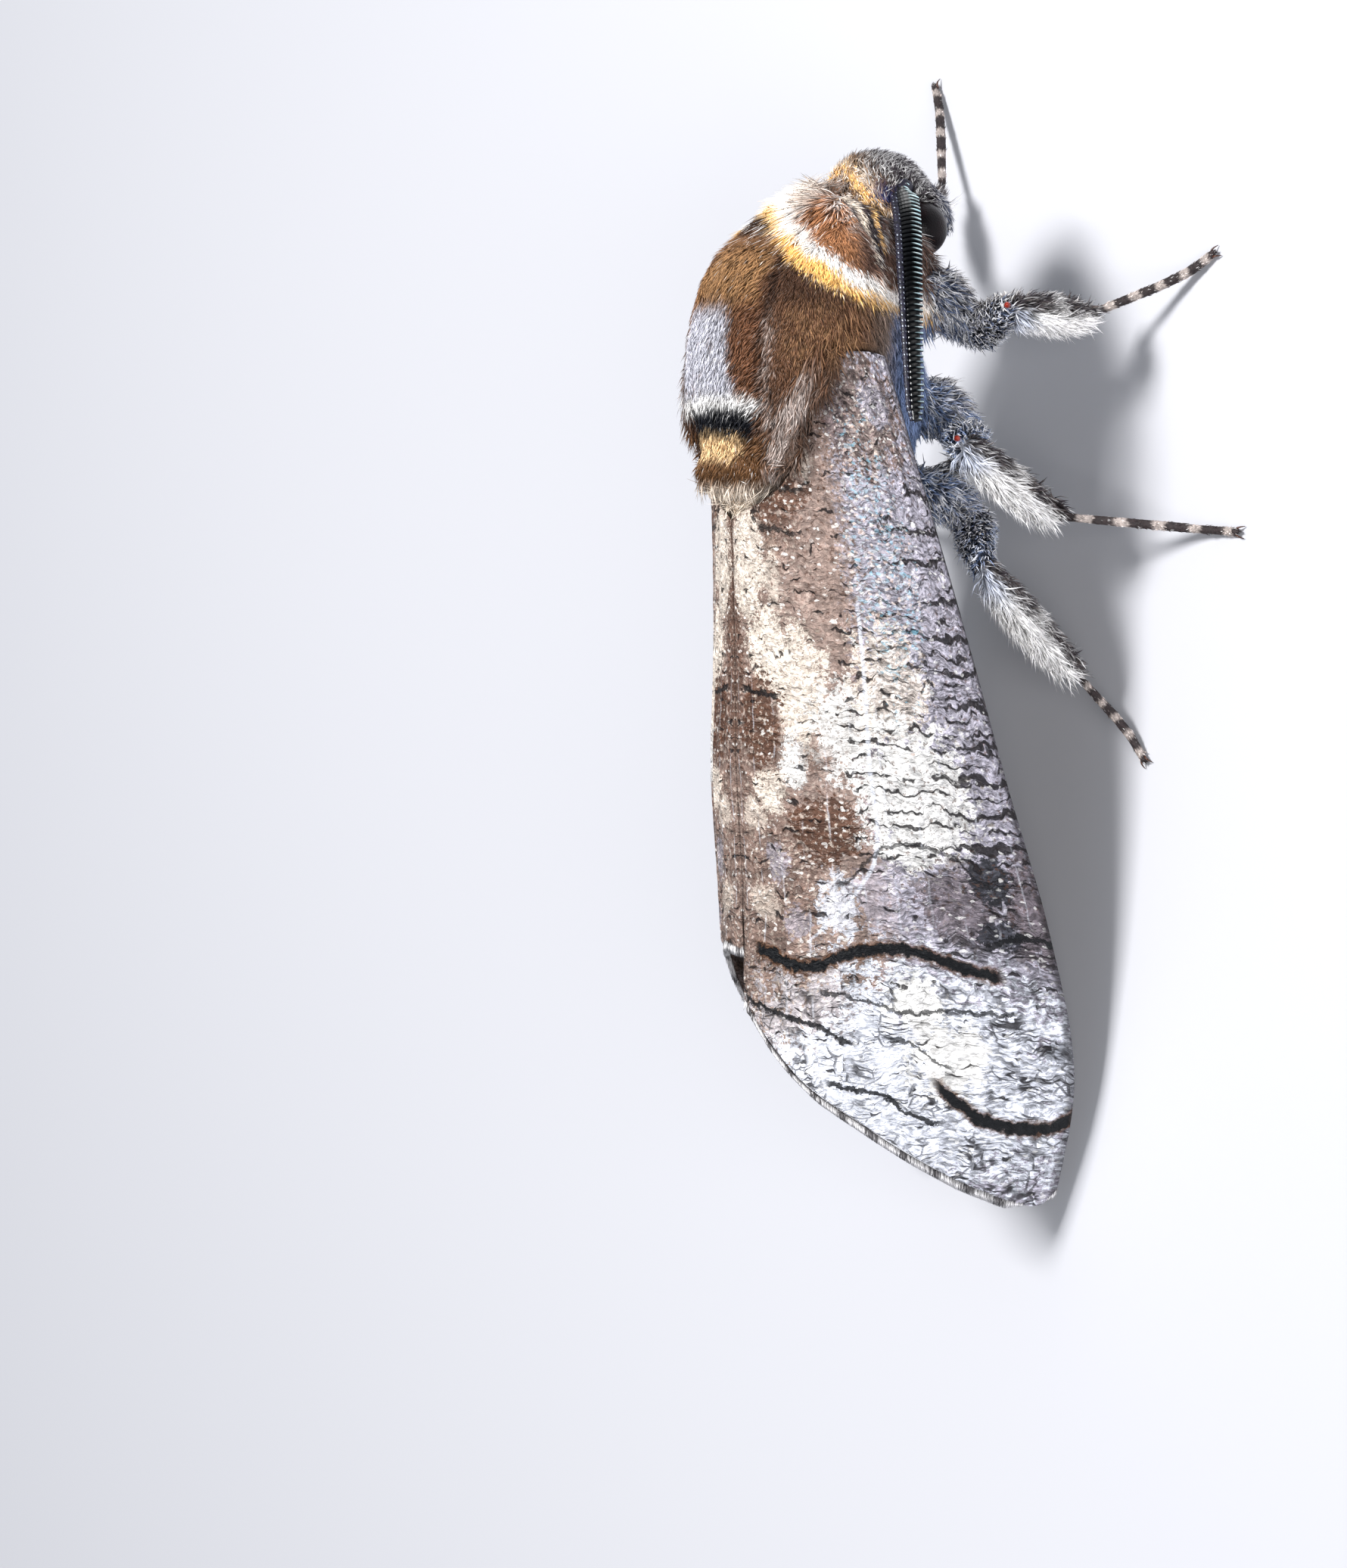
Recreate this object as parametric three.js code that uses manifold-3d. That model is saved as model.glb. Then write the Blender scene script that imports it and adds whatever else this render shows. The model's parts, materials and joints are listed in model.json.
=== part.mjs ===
// A goat moth, Cossus cossus, at rest with its wings folded like a roof: a still, life-size model.
// Millimetres. +X runs towards the head, +Y to the moth's left, +Z up, and the floor is z = 0.
// Each solid reaches out to the tips of the scales and hair that cover it.

import * as THREE from 'three';
import { mergeVertices } from 'three/addons/utils/BufferGeometryUtils.js';
import Module from 'manifold-3d';

const wasm = await Module();
wasm.setup();

// ---- Driving dimensions ----

const GAP = 0.15;
const CRUMB = 0.05;
const WING_THICKNESS = 0.62;
const RIDGE_GAP = 0.12;
const EYE_RADIUS = 1.2;
const TOE_HEIGHT = 0.27;

// The middle of the whole moth's length, which goes over the origin.
const CENTRE_X = 0.6;

const TRUNK_SIDES = 18;
const LIMB_SIDES = 8;

// The trunk from the waist to the neck: round sections of a radius about a centre height.
const TRUNK = [
  { x: 4.3, centre: 13.0, radius: 4.0 },
  { x: 7.2, centre: 13.5, radius: 4.75 },
  { x: 11.0, centre: 13.8, radius: 5.1 },
  { x: 13.7, centre: 13.75, radius: 4.9 },
  { x: 15.4, centre: 13.5, radius: 4.55 },
  { x: 17.0, centre: 13.0, radius: 3.8 },
  { x: 18.4, centre: 12.6, radius: 2.7 },
  { x: 19.2, centre: 12.4, radius: 1.5 },
];

const ABDOMEN = [
  { x: -15.2, centre: 5.6, radius: 0.7 },
  { x: -13.4, centre: 6.2, radius: 1.9 },
  { x: -10.0, centre: 7.5, radius: 3.1 },
  { x: -5.0, centre: 9.0, radius: 3.9 },
  { x: 0.0, centre: 10.4, radius: 4.2 },
  { x: 3.0, centre: 11.6, radius: 4.2 },
  { x: 4.1, centre: 12.1, radius: 4.0 },
];

// The roof of the folded wings: the height of its ridge, its half width, the height of its hem,
// and how round its arch is, where 1 is a straight-sided roof and 2 an ellipse.
const ROOF = [
  { x: 12, ridge: 18.4, half: 5.7, hem: 14.2, power: 1.7 },
  { x: 6, ridge: 17.6, half: 6.2, hem: 11.7, power: 1.6 },
  { x: 0, ridge: 16.8, half: 6.9, hem: 9.4, power: 1.65 },
  { x: -6, ridge: 16.1, half: 7.2, hem: 6.9, power: 1.9 },
  { x: -12, ridge: 15.2, half: 7.1, hem: 4.0, power: 2 },
  { x: -18, ridge: 14.4, half: 6.5, hem: 1.6, power: 2 },
  { x: -24, ridge: 13.0, half: 4.5, hem: 0.6, power: 2 },
];

// Where a forewing starts at its root and ends at its outer edge, by the share of the way
// from the ridge (0) down to the hem (1).
const WING_ROOT = [
  { x: 0, reach: 4.2 },
  { x: 0.3, reach: 5.6 },
  { x: 0.45, reach: 7.8 },
  { x: 0.6, reach: 11.0 },
  { x: 0.8, reach: 11.5 },
  { x: 1, reach: 11.4 },
];
const WING_EDGE = [
  { x: 0, reach: -16.2 },
  { x: 0.25, reach: -19.3 },
  { x: 0.45, reach: -21.0 },
  { x: 0.7, reach: -23.0 },
  { x: 0.88, reach: -24.0 },
  { x: 0.96, reach: -24.1 },
  { x: 1, reach: -23.4 },
];

// How much further forward the left forewing's outer edge lies than the right one's.
const LEFT_WING_LAG = [
  { x: 0, reach: 2.1 },
  { x: 0.3, reach: 5.6 },
  { x: 0.6, reach: 4.0 },
  { x: 1, reach: 1.5 },
];

// The collar lies between two planes that lean forward: each is named by where it passes the
// height COLLAR_LEVEL, and COLLAR_LEAN is how far it moves forward for each millimetre up.
const COLLAR_LEAN = 0.684;
const COLLAR_LEVEL = 14;
const COLLAR_BACK = 14.35;
const COLLAR_FRONT = 18.85;

// The upper and lower edges of a tegula, in degrees down from the trunk's top line, by the share
// of its length from its front to its back.
const TEGULA_FRONT = 17.2;
const TEGULA_BACK = 7.6;
const TEGULA_EDGES = [
  { x: 0, upper: 55, lower: 62 },
  { x: 0.12, upper: 42, lower: 82 },
  { x: 0.35, upper: 32, lower: 93 },
  { x: 0.58, upper: 31, lower: 90 },
  { x: 0.7, upper: 33, lower: 70 },
  { x: 0.85, upper: 37, lower: 57 },
  { x: 1, upper: 44, lower: 49 },
];

// Joints of the legs. out is the distance from the middle plane.
const LEGS = [
  {
    name: 'foreleg', side: 'r',
    root: { x: 15.4, out: 2.3, z: 9.9 }, hip: { x: 12.9, out: 2.2, z: 6.9 },
    knee: { x: 14.1, out: 6.0, z: 8.1 }, ankle: { x: 14.3, out: 5.2, z: 3.1 },
    toe: { x: 17.0, out: 9.4, z: TOE_HEIGHT }, tibiaWidth: 0.85, spurs: [],
  },
  {
    name: 'foreleg', side: 'l',
    root: { x: 15.6, out: 2.3, z: 9.9 }, hip: { x: 14.4, out: 2.4, z: 6.8 },
    knee: { x: 17.2, out: 5.3, z: 5.9 }, ankle: { x: 20.0, out: 7.6, z: 1.8 },
    toe: { x: 24.8, out: 10.7, z: TOE_HEIGHT }, tibiaWidth: 0.8, spurs: [],
  },
  ...['r', 'l'].map((side) => ({
    name: 'midleg', side,
    root: { x: 10.6, out: 2.4, z: 9.7 }, hip: { x: 8.6, out: 2.2, z: 6.5 },
    knee: { x: 8.3, out: 6.3, z: 10.4 }, ankle: { x: 5.6, out: 5.8, z: 4.6 },
    toe: { x: 5.4, out: 12.4, z: TOE_HEIGHT }, tibiaWidth: 0.95, spurs: [0.86],
  })),
  ...['r', 'l'].map((side) => ({
    name: 'hindleg', side,
    root: { x: 6.7, out: 2.3, z: 9.4 }, hip: { x: 5.5, out: 2.2, z: 6.2 },
    knee: { x: 3.4, out: 5.9, z: 8.6 }, ankle: { x: -0.95, out: 5.2, z: 2.3 },
    toe: { x: -4.2, out: 7.5, z: TOE_HEIGHT }, tibiaWidth: 0.9, spurs: [0.5, 0.88],
  })),
];

// ---- Materials ----

function coat(color, roughness = 0.9) {
  return new THREE.MeshStandardMaterial({ color, roughness, metalness: 0 });
}

const COATS = {
  head: 0x5f4634,
  collar: 0x9a7b5c,
  thorax: 0x8d8690,
  tegula: 0x6b4731,
  crest: 0x5a4030,
  abdomen: 0x77706f,
  forewing: 0xb9aca2,
  hindwing: 0x8b827c,
  antenna: 0x2a2a30,
  palp: 0x55402f,
  coxa: 0xa9b0c2,
  femur: 0xa3a4b0,
  tibia: 0xc4bcb4,
  tarsus: 0x6d625c,
};

// ---- Shapes ----

// A smooth curve through stations at growing or falling x: the value called key, at x.
function along(stations, key, x) {
  const rising = stations[0].x < stations[stations.length - 1].x;
  const list = rising ? stations : [...stations].reverse();
  const last = list.length - 1;
  if (x <= list[0].x) return list[0][key];
  if (x >= list[last].x) return list[last][key];
  const i = list.findIndex((station) => station.x > x) - 1;
  const slope = (k) => {
    const before = list[Math.max(k - 1, 0)];
    const after = list[Math.min(k + 1, last)];
    return (after[key] - before[key]) / (after.x - before.x);
  };
  const run = list[i + 1].x - list[i].x;
  const t = (x - list[i].x) / run;
  const rise = list[i + 1][key] - list[i][key];
  const blend = t * t * (3 - 2 * t);
  return list[i][key] + rise * blend
    + run * (slope(i) * t * (1 - t) ** 2 - slope(i + 1) * t * t * (1 - t));
}

// A closed solid through rings of equally many points. Each end is closed by a strip between
// the ring's two halves, so a ring may be round or a thin bent section.
function loft(rings) {
  const sides = rings[0].length;
  const index = [];
  for (let r = 0; r < rings.length - 1; r += 1) {
    for (let s = 0; s < sides; s += 1) {
      const a = r * sides + s;
      const b = r * sides + ((s + 1) % sides);
      index.push(a, b, b + sides, a, b + sides, a + sides);
    }
  }
  const end = (rings.length - 1) * sides;
  for (let s = 0; s < sides / 2 - 1; s += 1) {
    const mirror = sides - 1 - s;
    index.push(s, mirror, mirror - 1, s, mirror - 1, s + 1);
    index.push(end + s, end + mirror - 1, end + mirror, end + s, end + s + 1, end + mirror - 1);
  }
  const geometry = new THREE.BufferGeometry().setFromPoints(rings.flat());
  geometry.setIndex(index);
  return outward(geometry);
}

// The same geometry with its faces turned outwards.
function outward(geometry) {
  const place = geometry.getAttribute('position');
  const index = geometry.getIndex();
  const corner = (k) => new THREE.Vector3().fromBufferAttribute(place, index.getX(k));
  let volume = 0;
  for (let k = 0; k < index.count; k += 3) {
    volume += corner(k).dot(corner(k + 1).cross(corner(k + 2)));
  }
  if (volume < 0) {
    const turned = [];
    for (let k = 0; k < index.count; k += 3) {
      turned.push(index.getX(k), index.getX(k + 2), index.getX(k + 1));
    }
    geometry.setIndex(turned);
  }
  return geometry;
}

function toSolid(geometry) {
  const bare = geometry.clone();
  bare.deleteAttribute('normal');
  bare.deleteAttribute('uv');
  const merged = mergeVertices(bare, 1e-5);
  return new wasm.Manifold(new wasm.Mesh({
    numProp: 3,
    vertProperties: new Float32Array(merged.getAttribute('position').array),
    triVerts: new Uint32Array(merged.getIndex().array),
  }));
}

function toGeometry(solid) {
  const mesh = solid.getMesh();
  const geometry = new THREE.BufferGeometry();
  geometry.setAttribute('position', new THREE.BufferAttribute(mesh.vertProperties, 3));
  geometry.setIndex(new THREE.BufferAttribute(mesh.triVerts, 1));
  return geometry;
}

// The biggest single piece of a solid, without the crumbs a cut may leave.
function biggest(solid) {
  return solid.decompose().reduce((most, piece) => (piece.volume() > most.volume() ? piece : most));
}

function signOf(side) {
  return side === 'l' ? 1 : -1;
}

// The trunk or the abdomen as round rings, between two x places.
function barrel(stations, from, to, steps, grow) {
  const rings = [];
  for (let i = 0; i <= steps; i += 1) {
    const x = from + (to - from) * (i / steps);
    const radius = along(stations, 'radius', x) + grow;
    const centre = along(stations, 'centre', x);
    const ring = [];
    for (let s = 0; s < TRUNK_SIDES; s += 1) {
      const angle = (2 * Math.PI * (s + 0.5)) / TRUNK_SIDES;
      ring.push(new THREE.Vector3(x, radius * Math.sin(angle), centre + radius * Math.cos(angle)));
    }
    rings.push(ring);
  }
  return toSolid(loft(rings));
}

// All space behind (side -1) or in front of (side 1) a leaning plane that passes COLLAR_LEVEL at x.
function halfSpace(x, side) {
  const size = 60;
  const box = new THREE.BoxGeometry(size, size, size);
  box.translate((side * size) / 2, 0, 0);
  box.applyMatrix4(new THREE.Matrix4().makeRotationY(Math.atan(COLLAR_LEAN)));
  box.translate(x, 0, COLLAR_LEVEL);
  return toSolid(box);
}

// A point of the wing roof: x, the share of the way down from the ridge to the hem, and how far
// inside the roof's outer face.
function roofPoint(side, x, share, inset) {
  const angle = (share * Math.PI) / 2;
  const power = 2 / along(ROOF, 'power', x);
  const half = along(ROOF, 'half', x) - inset - RIDGE_GAP;
  const hem = along(ROOF, 'hem', x);
  const height = along(ROOF, 'ridge', x) - hem - inset;
  const out = RIDGE_GAP + half * Math.sin(angle) ** power;
  return new THREE.Vector3(x, signOf(side) * out, hem + height * Math.cos(angle) ** power);
}

// A wing as a bent plate: place(share of its length, share of its width, inset) gives its points.
function bentPlate(place, lengthSteps, widthSteps, thickness) {
  const rings = [];
  for (let i = 0; i <= lengthSteps; i += 1) {
    const outer = [];
    const inner = [];
    for (let j = 0; j <= widthSteps; j += 1) {
      outer.push(place(i / lengthSteps, j / widthSteps, 0));
      inner.unshift(place(i / lengthSteps, j / widthSteps, thickness));
    }
    rings.push([...outer, ...inner]);
  }
  return toSolid(loft(rings));
}

// A rounded limb along a smooth path, thickened by grow. radii run evenly from its start to its
// end, and wide stretches its section along X.
function limb(path, radii, { grow = 0, wide = 1, steps = 6, sides = LIMB_SIDES } = {}) {
  const curve = new THREE.CatmullRomCurve3(path, false, 'centripetal');
  const length = curve.getLength();
  const stations = radii.map((radius, i) => ({ x: i / (radii.length - 1), radius }));
  const rings = [];
  for (let i = 0; i <= steps; i += 1) {
    const share = 0.5 - 0.5 * Math.cos((Math.PI * i) / steps);
    const tangent = curve.getTangentAt(share);
    const centre = curve.getPointAt(share).addScaledVector(tangent, grow * (2 * share - 1));
    const full = along(stations, 'radius', share) + grow;
    const toEnd = Math.min(share, 1 - share) * length;
    const inward = Math.min(toEnd / full, 1);
    const radius = full * Math.max(Math.sqrt(1 - (1 - inward) ** 2), 0.3);
    const across = new THREE.Vector3(1, 0, 0).addScaledVector(tangent, -tangent.x).normalize();
    const other = new THREE.Vector3().crossVectors(tangent, across);
    const ring = [];
    for (let s = 0; s < sides; s += 1) {
      const angle = (2 * Math.PI * (s + 0.5)) / sides;
      ring.push(centre.clone()
        .addScaledVector(across, radius * wide * Math.cos(angle))
        .addScaledVector(other, radius * Math.sin(angle)));
    }
    rings.push(ring);
  }
  return toSolid(loft(rings));
}

function ball(centre, radii, columns, rows) {
  const geometry = new THREE.SphereGeometry(1, columns, rows);
  geometry.scale(radii.x, radii.y, radii.z);
  geometry.translate(centre.x, centre.y, centre.z);
  return toSolid(geometry);
}

// ---- The moth's parts: each function gives the part, or the space it keeps clear with grow ----

function trunk(grow = 0) {
  return barrel(TRUNK, 4.3 - grow, 19.2 + grow, 12, grow);
}

function thorax(grow = 0) {
  return trunk(grow).intersect(halfSpace(COLLAR_BACK - GAP / 2 + grow, -1));
}

function collar(grow = 0) {
  return trunk(grow)
    .intersect(halfSpace(COLLAR_BACK + GAP / 2 - grow, 1))
    .intersect(halfSpace(COLLAR_FRONT + grow, -1));
}

function abdomen(grow = 0) {
  return barrel(ABDOMEN, -15.2 - grow, 4.1 + grow, 9, grow);
}

// The skull, with the tuft of the face that juts out over its front.
function head(grow = 0) {
  const skull = ball({ x: 18.1, y: 0, z: 10.9 },
    { x: 2.6 + grow, y: 2.5 + grow, z: 2.6 + grow }, 15, 9);
  const face = ball({ x: 18.7, y: 0, z: 9.7 },
    { x: 1.3 + grow, y: 1.8 + grow, z: 1.6 + grow }, 11, 7);
  return skull.add(face);
}

function eye(side, grow = 0) {
  const radius = EYE_RADIUS + grow;
  return ball({ x: 17.2, y: signOf(side) * 2.0, z: 10.06 }, { x: radius, y: radius, z: radius }, 12, 8);
}

// A palp juts out under the face and narrows to a tip that curls back.
function palp(side, grow = 0) {
  const y = signOf(side);
  const path = [
    new THREE.Vector3(19.0, 0.95 * y, 9.3),
    new THREE.Vector3(18.4, 1.05 * y, 8.6),
    new THREE.Vector3(17.9, 1.1 * y, 8.1),
    new THREE.Vector3(17.2, 1.1 * y, 7.8),
  ];
  return limb(path, [0.66, 0.6, 0.4, 0.26], { grow, steps: 7 });
}

// A feeler lies back along the side of the collar and the wing's root. Its comb makes it
// taller than it is wide.
function antenna(side, grow = 0) {
  const y = signOf(side);
  const path = [
    new THREE.Vector3(19.0, 1.7 * y, 10.9),
    new THREE.Vector3(17.4, 3.6 * y, 11.9),
    new THREE.Vector3(14.0, 5.65 * y, 12.95),
    new THREE.Vector3(8.8, 6.95 * y, 13.2),
  ];
  return limb(path, [0.42, 0.56, 0.56, 0.4], { grow, wide: 0.6, steps: 10, sides: 6 });
}

// The tegula, a scale-covered shield over the wing's root. Its lower edge ends early, where the
// wing comes out, and its upper part runs on to a narrow tip.
function tegula(side, grow = 0) {
  const length = TEGULA_FRONT - TEGULA_BACK;
  const place = (lengthShare, widthShare, inset) => {
    const x = TEGULA_FRONT + grow - (length + 2 * grow) * lengthShare;
    const upper = along(TEGULA_EDGES, 'upper', lengthShare) - 10 * grow;
    const lower = along(TEGULA_EDGES, 'lower', lengthShare) + 10 * grow;
    const angle = THREE.MathUtils.degToRad(upper + (lower - upper) * widthShare);
    const raise = 0.4 - 0.2 * Math.abs(2 * widthShare - 1) ** 3 + grow;
    const radius = along(TRUNK, 'radius', x) + raise - inset;
    const z = along(TRUNK, 'centre', x) + radius * Math.cos(angle);
    return new THREE.Vector3(x, signOf(side) * radius * Math.sin(angle), z);
  };
  return bentPlate(place, 7, 4, 0.65 + 2 * grow);
}

// The tuft that stands across the back of the thorax, where the wings meet.
function crest(grow = 0) {
  return ball({ x: 6.4, y: 0, z: 17.3 }, { x: 1.2 + grow, y: 2.5 + grow, z: 0.9 + grow }, 14, 8);
}

function forewing(side, grow = 0) {
  const place = (lengthShare, widthShare, inset) => {
    const share = widthShare ** 0.94;
    const root = along(WING_ROOT, 'reach', share) + grow;
    const lag = side === 'l' ? along(LEFT_WING_LAG, 'reach', share) : 0;
    const edge = along(WING_EDGE, 'reach', share) + lag - grow;
    return roofPoint(side, root + (edge - root) * lengthShare, share, inset - grow);
  };
  return bentPlate(place, 17, 7, WING_THICKNESS + 2 * grow);
}

// The hindwing lies folded under the forewing.
function hindwing(side, grow = 0) {
  const place = (lengthShare, widthShare, inset) => {
    const share = 0.1 + 0.66 * widthShare;
    const root = 5.0 + 1.6 * widthShare + grow;
    const edge = -13.6 - 3.4 * Math.sin(Math.PI * (0.15 + 0.6 * widthShare)) - grow;
    const x = root + (edge - root) * lengthShare;
    return roofPoint(side, x, share, WING_THICKNESS + 2 * GAP + inset - grow);
  };
  return bentPlate(place, 9, 4, 0.55 + 2 * grow);
}

function at(joint, side) {
  return new THREE.Vector3(joint.x, signOf(side) * joint.out, joint.z);
}

function coxa(leg, grow = 0) {
  return limb([at(leg.root, leg.side), at(leg.hip, leg.side)], [1.3, 1.3, 0.85], { grow });
}

function femur(leg, grow = 0) {
  return limb([at(leg.hip, leg.side), at(leg.knee, leg.side)], [0.8, 0.85, 0.6], { grow });
}

// A tibia, wide with hair, with a pair of spurs at each place in leg.spurs.
function tibia(leg, grow = 0) {
  const knee = at(leg.knee, leg.side);
  const ankle = at(leg.ankle, leg.side);
  const width = leg.tibiaWidth;
  let solid = limb([knee, ankle], [0.5, 0.68, 0.5], { grow, wide: width / 0.62 });
  for (const share of leg.spurs) {
    for (const spread of [-1, 1]) {
      const start = knee.clone().lerp(ankle, share);
      const tip = start.clone().lerp(ankle, 0.9 / start.distanceTo(ankle));
      tip.add(new THREE.Vector3(0.85, spread * 0.4, -0.3));
      solid = solid.add(limb([start, tip], [0.22, 0.18, 0.14], { grow, steps: 3, sides: 5 }));
    }
  }
  return solid;
}

// A tarsus runs down to the floor and lies on it at its end, on a small flat.
function tarsus(leg, grow = 0) {
  const ankle = at(leg.ankle, leg.side);
  const toe = at(leg.toe, leg.side);
  const heel = ankle.clone().lerp(toe, 0.72);
  heel.z = 0.55;
  const claws = toe.clone().sub(ankle).setZ(0).normalize().multiplyScalar(0.5).add(toe);
  const solid = limb([ankle, heel, toe, claws], [0.34, 0.36, 0.36, 0.34], { grow, steps: 8, sides: 6 });
  const floor = new THREE.BoxGeometry(80, 80, 10).translate(0, 0, -5 - grow);
  return solid.subtract(toSolid(floor));
}

// ---- Assembly ----

const moth = new THREE.Group();
moth.position.x = -CENTRE_X;

function show(name, solid, material, neighbours = []) {
  const clear = neighbours.reduce((rest, neighbour) => rest.subtract(neighbour), solid);
  const mesh = new THREE.Mesh(toGeometry(biggest(clear).simplify(CRUMB)), material);
  mesh.name = name;
  moth.add(mesh);
}

const sides = ['l', 'r'];
const eyesSpace = sides.map((side) => eye(side, GAP));
const antennaeSpace = sides.map((side) => antenna(side, GAP));
const forewingsSpace = sides.map((side) => forewing(side, GAP));
const hindwingsSpace = sides.map((side) => hindwing(side, GAP));
const tegulaeSpace = sides.map((side) => tegula(side, GAP));

show('head', head(), coat(COATS.head), [collar(GAP), ...eyesSpace, ...antennaeSpace]);
show('collar', collar(), coat(COATS.collar), [...eyesSpace, ...antennaeSpace]);
show('thorax', thorax(), coat(COATS.thorax), [
  ...forewingsSpace, ...hindwingsSpace, ...tegulaeSpace, crest(GAP),
]);
show('crest', crest(), coat(COATS.crest), forewingsSpace);
show('abdomen', abdomen(), coat(COATS.abdomen), hindwingsSpace);

for (const side of sides) {
  show(`eye_${side}`, eye(side), coat(0x1c1210, 0.15));
  show(`antenna_${side}`, antenna(side), coat(COATS.antenna, 0.5));
  show(`palp_${side}`, palp(side), coat(COATS.palp), [head(GAP), ...eyesSpace]);
  show(`tegula_${side}`, tegula(side), coat(COATS.tegula), [
    collar(GAP), ...forewingsSpace, ...antennaeSpace,
  ]);
  show(`forewing_${side}`, forewing(side), coat(COATS.forewing, 0.7));
  show(`hindwing_${side}`, hindwing(side), coat(COATS.hindwing, 0.7), [thorax(GAP)]);
}

for (const leg of LEGS) {
  const label = `${leg.name}_${leg.side}`;
  const rootSpace = [thorax(GAP), collar(GAP)];
  show(`${label}_coxa`, coxa(leg), coat(COATS.coxa), rootSpace);
  show(`${label}_femur`, femur(leg), coat(COATS.femur), [...rootSpace, coxa(leg, GAP)]);
  show(`${label}_tibia`, tibia(leg), coat(COATS.tibia), [femur(leg, GAP)]);
  show(`${label}_tarsus`, tarsus(leg), coat(COATS.tarsus), [tibia(leg, GAP)]);
}

export default moth;
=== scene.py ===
"""A goat moth at rest with folded wings: skin, wings, feelers, eyes and coat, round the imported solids.

Lengths in this script are millimetres in the moth's own frame, the one its solids were drawn in, and
to_frame() turns them into the row frame's metres. +X runs to the head, +Y to the moth's left.
"""

import json
import math

import bpy
import numpy as np
from mathutils import Matrix, Vector, noise
from mathutils.bvhtree import BVHTree
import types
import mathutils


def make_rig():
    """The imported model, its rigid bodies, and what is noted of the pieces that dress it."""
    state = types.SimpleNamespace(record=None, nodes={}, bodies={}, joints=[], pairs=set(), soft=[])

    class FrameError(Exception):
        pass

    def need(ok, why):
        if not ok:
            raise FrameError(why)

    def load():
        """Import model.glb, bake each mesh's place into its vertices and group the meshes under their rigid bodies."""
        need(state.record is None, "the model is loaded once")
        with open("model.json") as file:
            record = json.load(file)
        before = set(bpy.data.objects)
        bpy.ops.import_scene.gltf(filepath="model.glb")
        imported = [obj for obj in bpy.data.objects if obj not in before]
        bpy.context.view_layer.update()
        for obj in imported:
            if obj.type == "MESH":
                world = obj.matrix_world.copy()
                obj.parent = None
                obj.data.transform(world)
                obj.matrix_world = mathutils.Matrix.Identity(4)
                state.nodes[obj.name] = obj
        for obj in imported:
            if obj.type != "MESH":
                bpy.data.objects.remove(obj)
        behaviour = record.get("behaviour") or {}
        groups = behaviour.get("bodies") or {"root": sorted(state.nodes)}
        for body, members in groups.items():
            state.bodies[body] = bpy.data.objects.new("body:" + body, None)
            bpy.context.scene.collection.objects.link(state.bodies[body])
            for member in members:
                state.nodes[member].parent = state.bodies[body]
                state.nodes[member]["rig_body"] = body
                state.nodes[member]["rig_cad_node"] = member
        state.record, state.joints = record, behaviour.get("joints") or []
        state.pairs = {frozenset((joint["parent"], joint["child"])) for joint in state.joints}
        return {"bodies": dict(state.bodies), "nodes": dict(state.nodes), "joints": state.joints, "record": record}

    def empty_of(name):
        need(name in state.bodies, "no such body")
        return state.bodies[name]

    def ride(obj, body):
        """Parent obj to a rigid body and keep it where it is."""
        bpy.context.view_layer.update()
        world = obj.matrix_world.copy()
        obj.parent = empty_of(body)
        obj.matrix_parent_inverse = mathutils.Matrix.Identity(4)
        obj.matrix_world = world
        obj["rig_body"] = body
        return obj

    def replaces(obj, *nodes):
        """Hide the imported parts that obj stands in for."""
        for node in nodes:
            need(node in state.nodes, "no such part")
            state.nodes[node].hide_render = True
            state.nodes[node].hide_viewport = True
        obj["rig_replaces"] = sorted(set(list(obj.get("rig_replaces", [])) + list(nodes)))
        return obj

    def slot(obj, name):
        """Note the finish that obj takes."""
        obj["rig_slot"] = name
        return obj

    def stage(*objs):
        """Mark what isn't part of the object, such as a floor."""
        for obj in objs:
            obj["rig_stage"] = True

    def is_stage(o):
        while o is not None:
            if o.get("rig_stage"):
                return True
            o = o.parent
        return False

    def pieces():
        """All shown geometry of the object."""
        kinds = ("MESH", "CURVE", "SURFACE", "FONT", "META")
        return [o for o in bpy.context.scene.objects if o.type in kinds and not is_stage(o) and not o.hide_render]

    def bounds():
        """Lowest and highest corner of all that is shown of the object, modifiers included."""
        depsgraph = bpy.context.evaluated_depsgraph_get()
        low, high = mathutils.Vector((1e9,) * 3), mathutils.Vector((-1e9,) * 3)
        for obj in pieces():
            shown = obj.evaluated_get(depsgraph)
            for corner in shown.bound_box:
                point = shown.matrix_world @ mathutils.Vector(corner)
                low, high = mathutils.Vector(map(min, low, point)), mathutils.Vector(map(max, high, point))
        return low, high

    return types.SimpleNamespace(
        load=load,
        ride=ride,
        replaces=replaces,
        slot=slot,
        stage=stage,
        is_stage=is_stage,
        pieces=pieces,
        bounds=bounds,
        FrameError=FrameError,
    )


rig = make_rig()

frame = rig.load()
cad_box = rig.bounds()

# ---- Sizes that the solids share ----

MM = 0.001
PER_MM = (1000.0, 1000.0, 1000.0)
CENTRE_X = 0.6
RIDGE_GAP = 0.12
RIDGE_OVERLAP = 0.09
EYE_RADIUS = 1.2
WING_ARC = 14.0

# The height of the trunk's middle, at stations along x.
TRUNK_X = (4.3, 7.2, 11.0, 13.7, 15.4, 17.0, 18.4, 19.2)
TRUNK_CENTRE = (13.0, 13.5, 13.8, 13.75, 13.5, 13.0, 12.6, 12.4)

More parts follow.
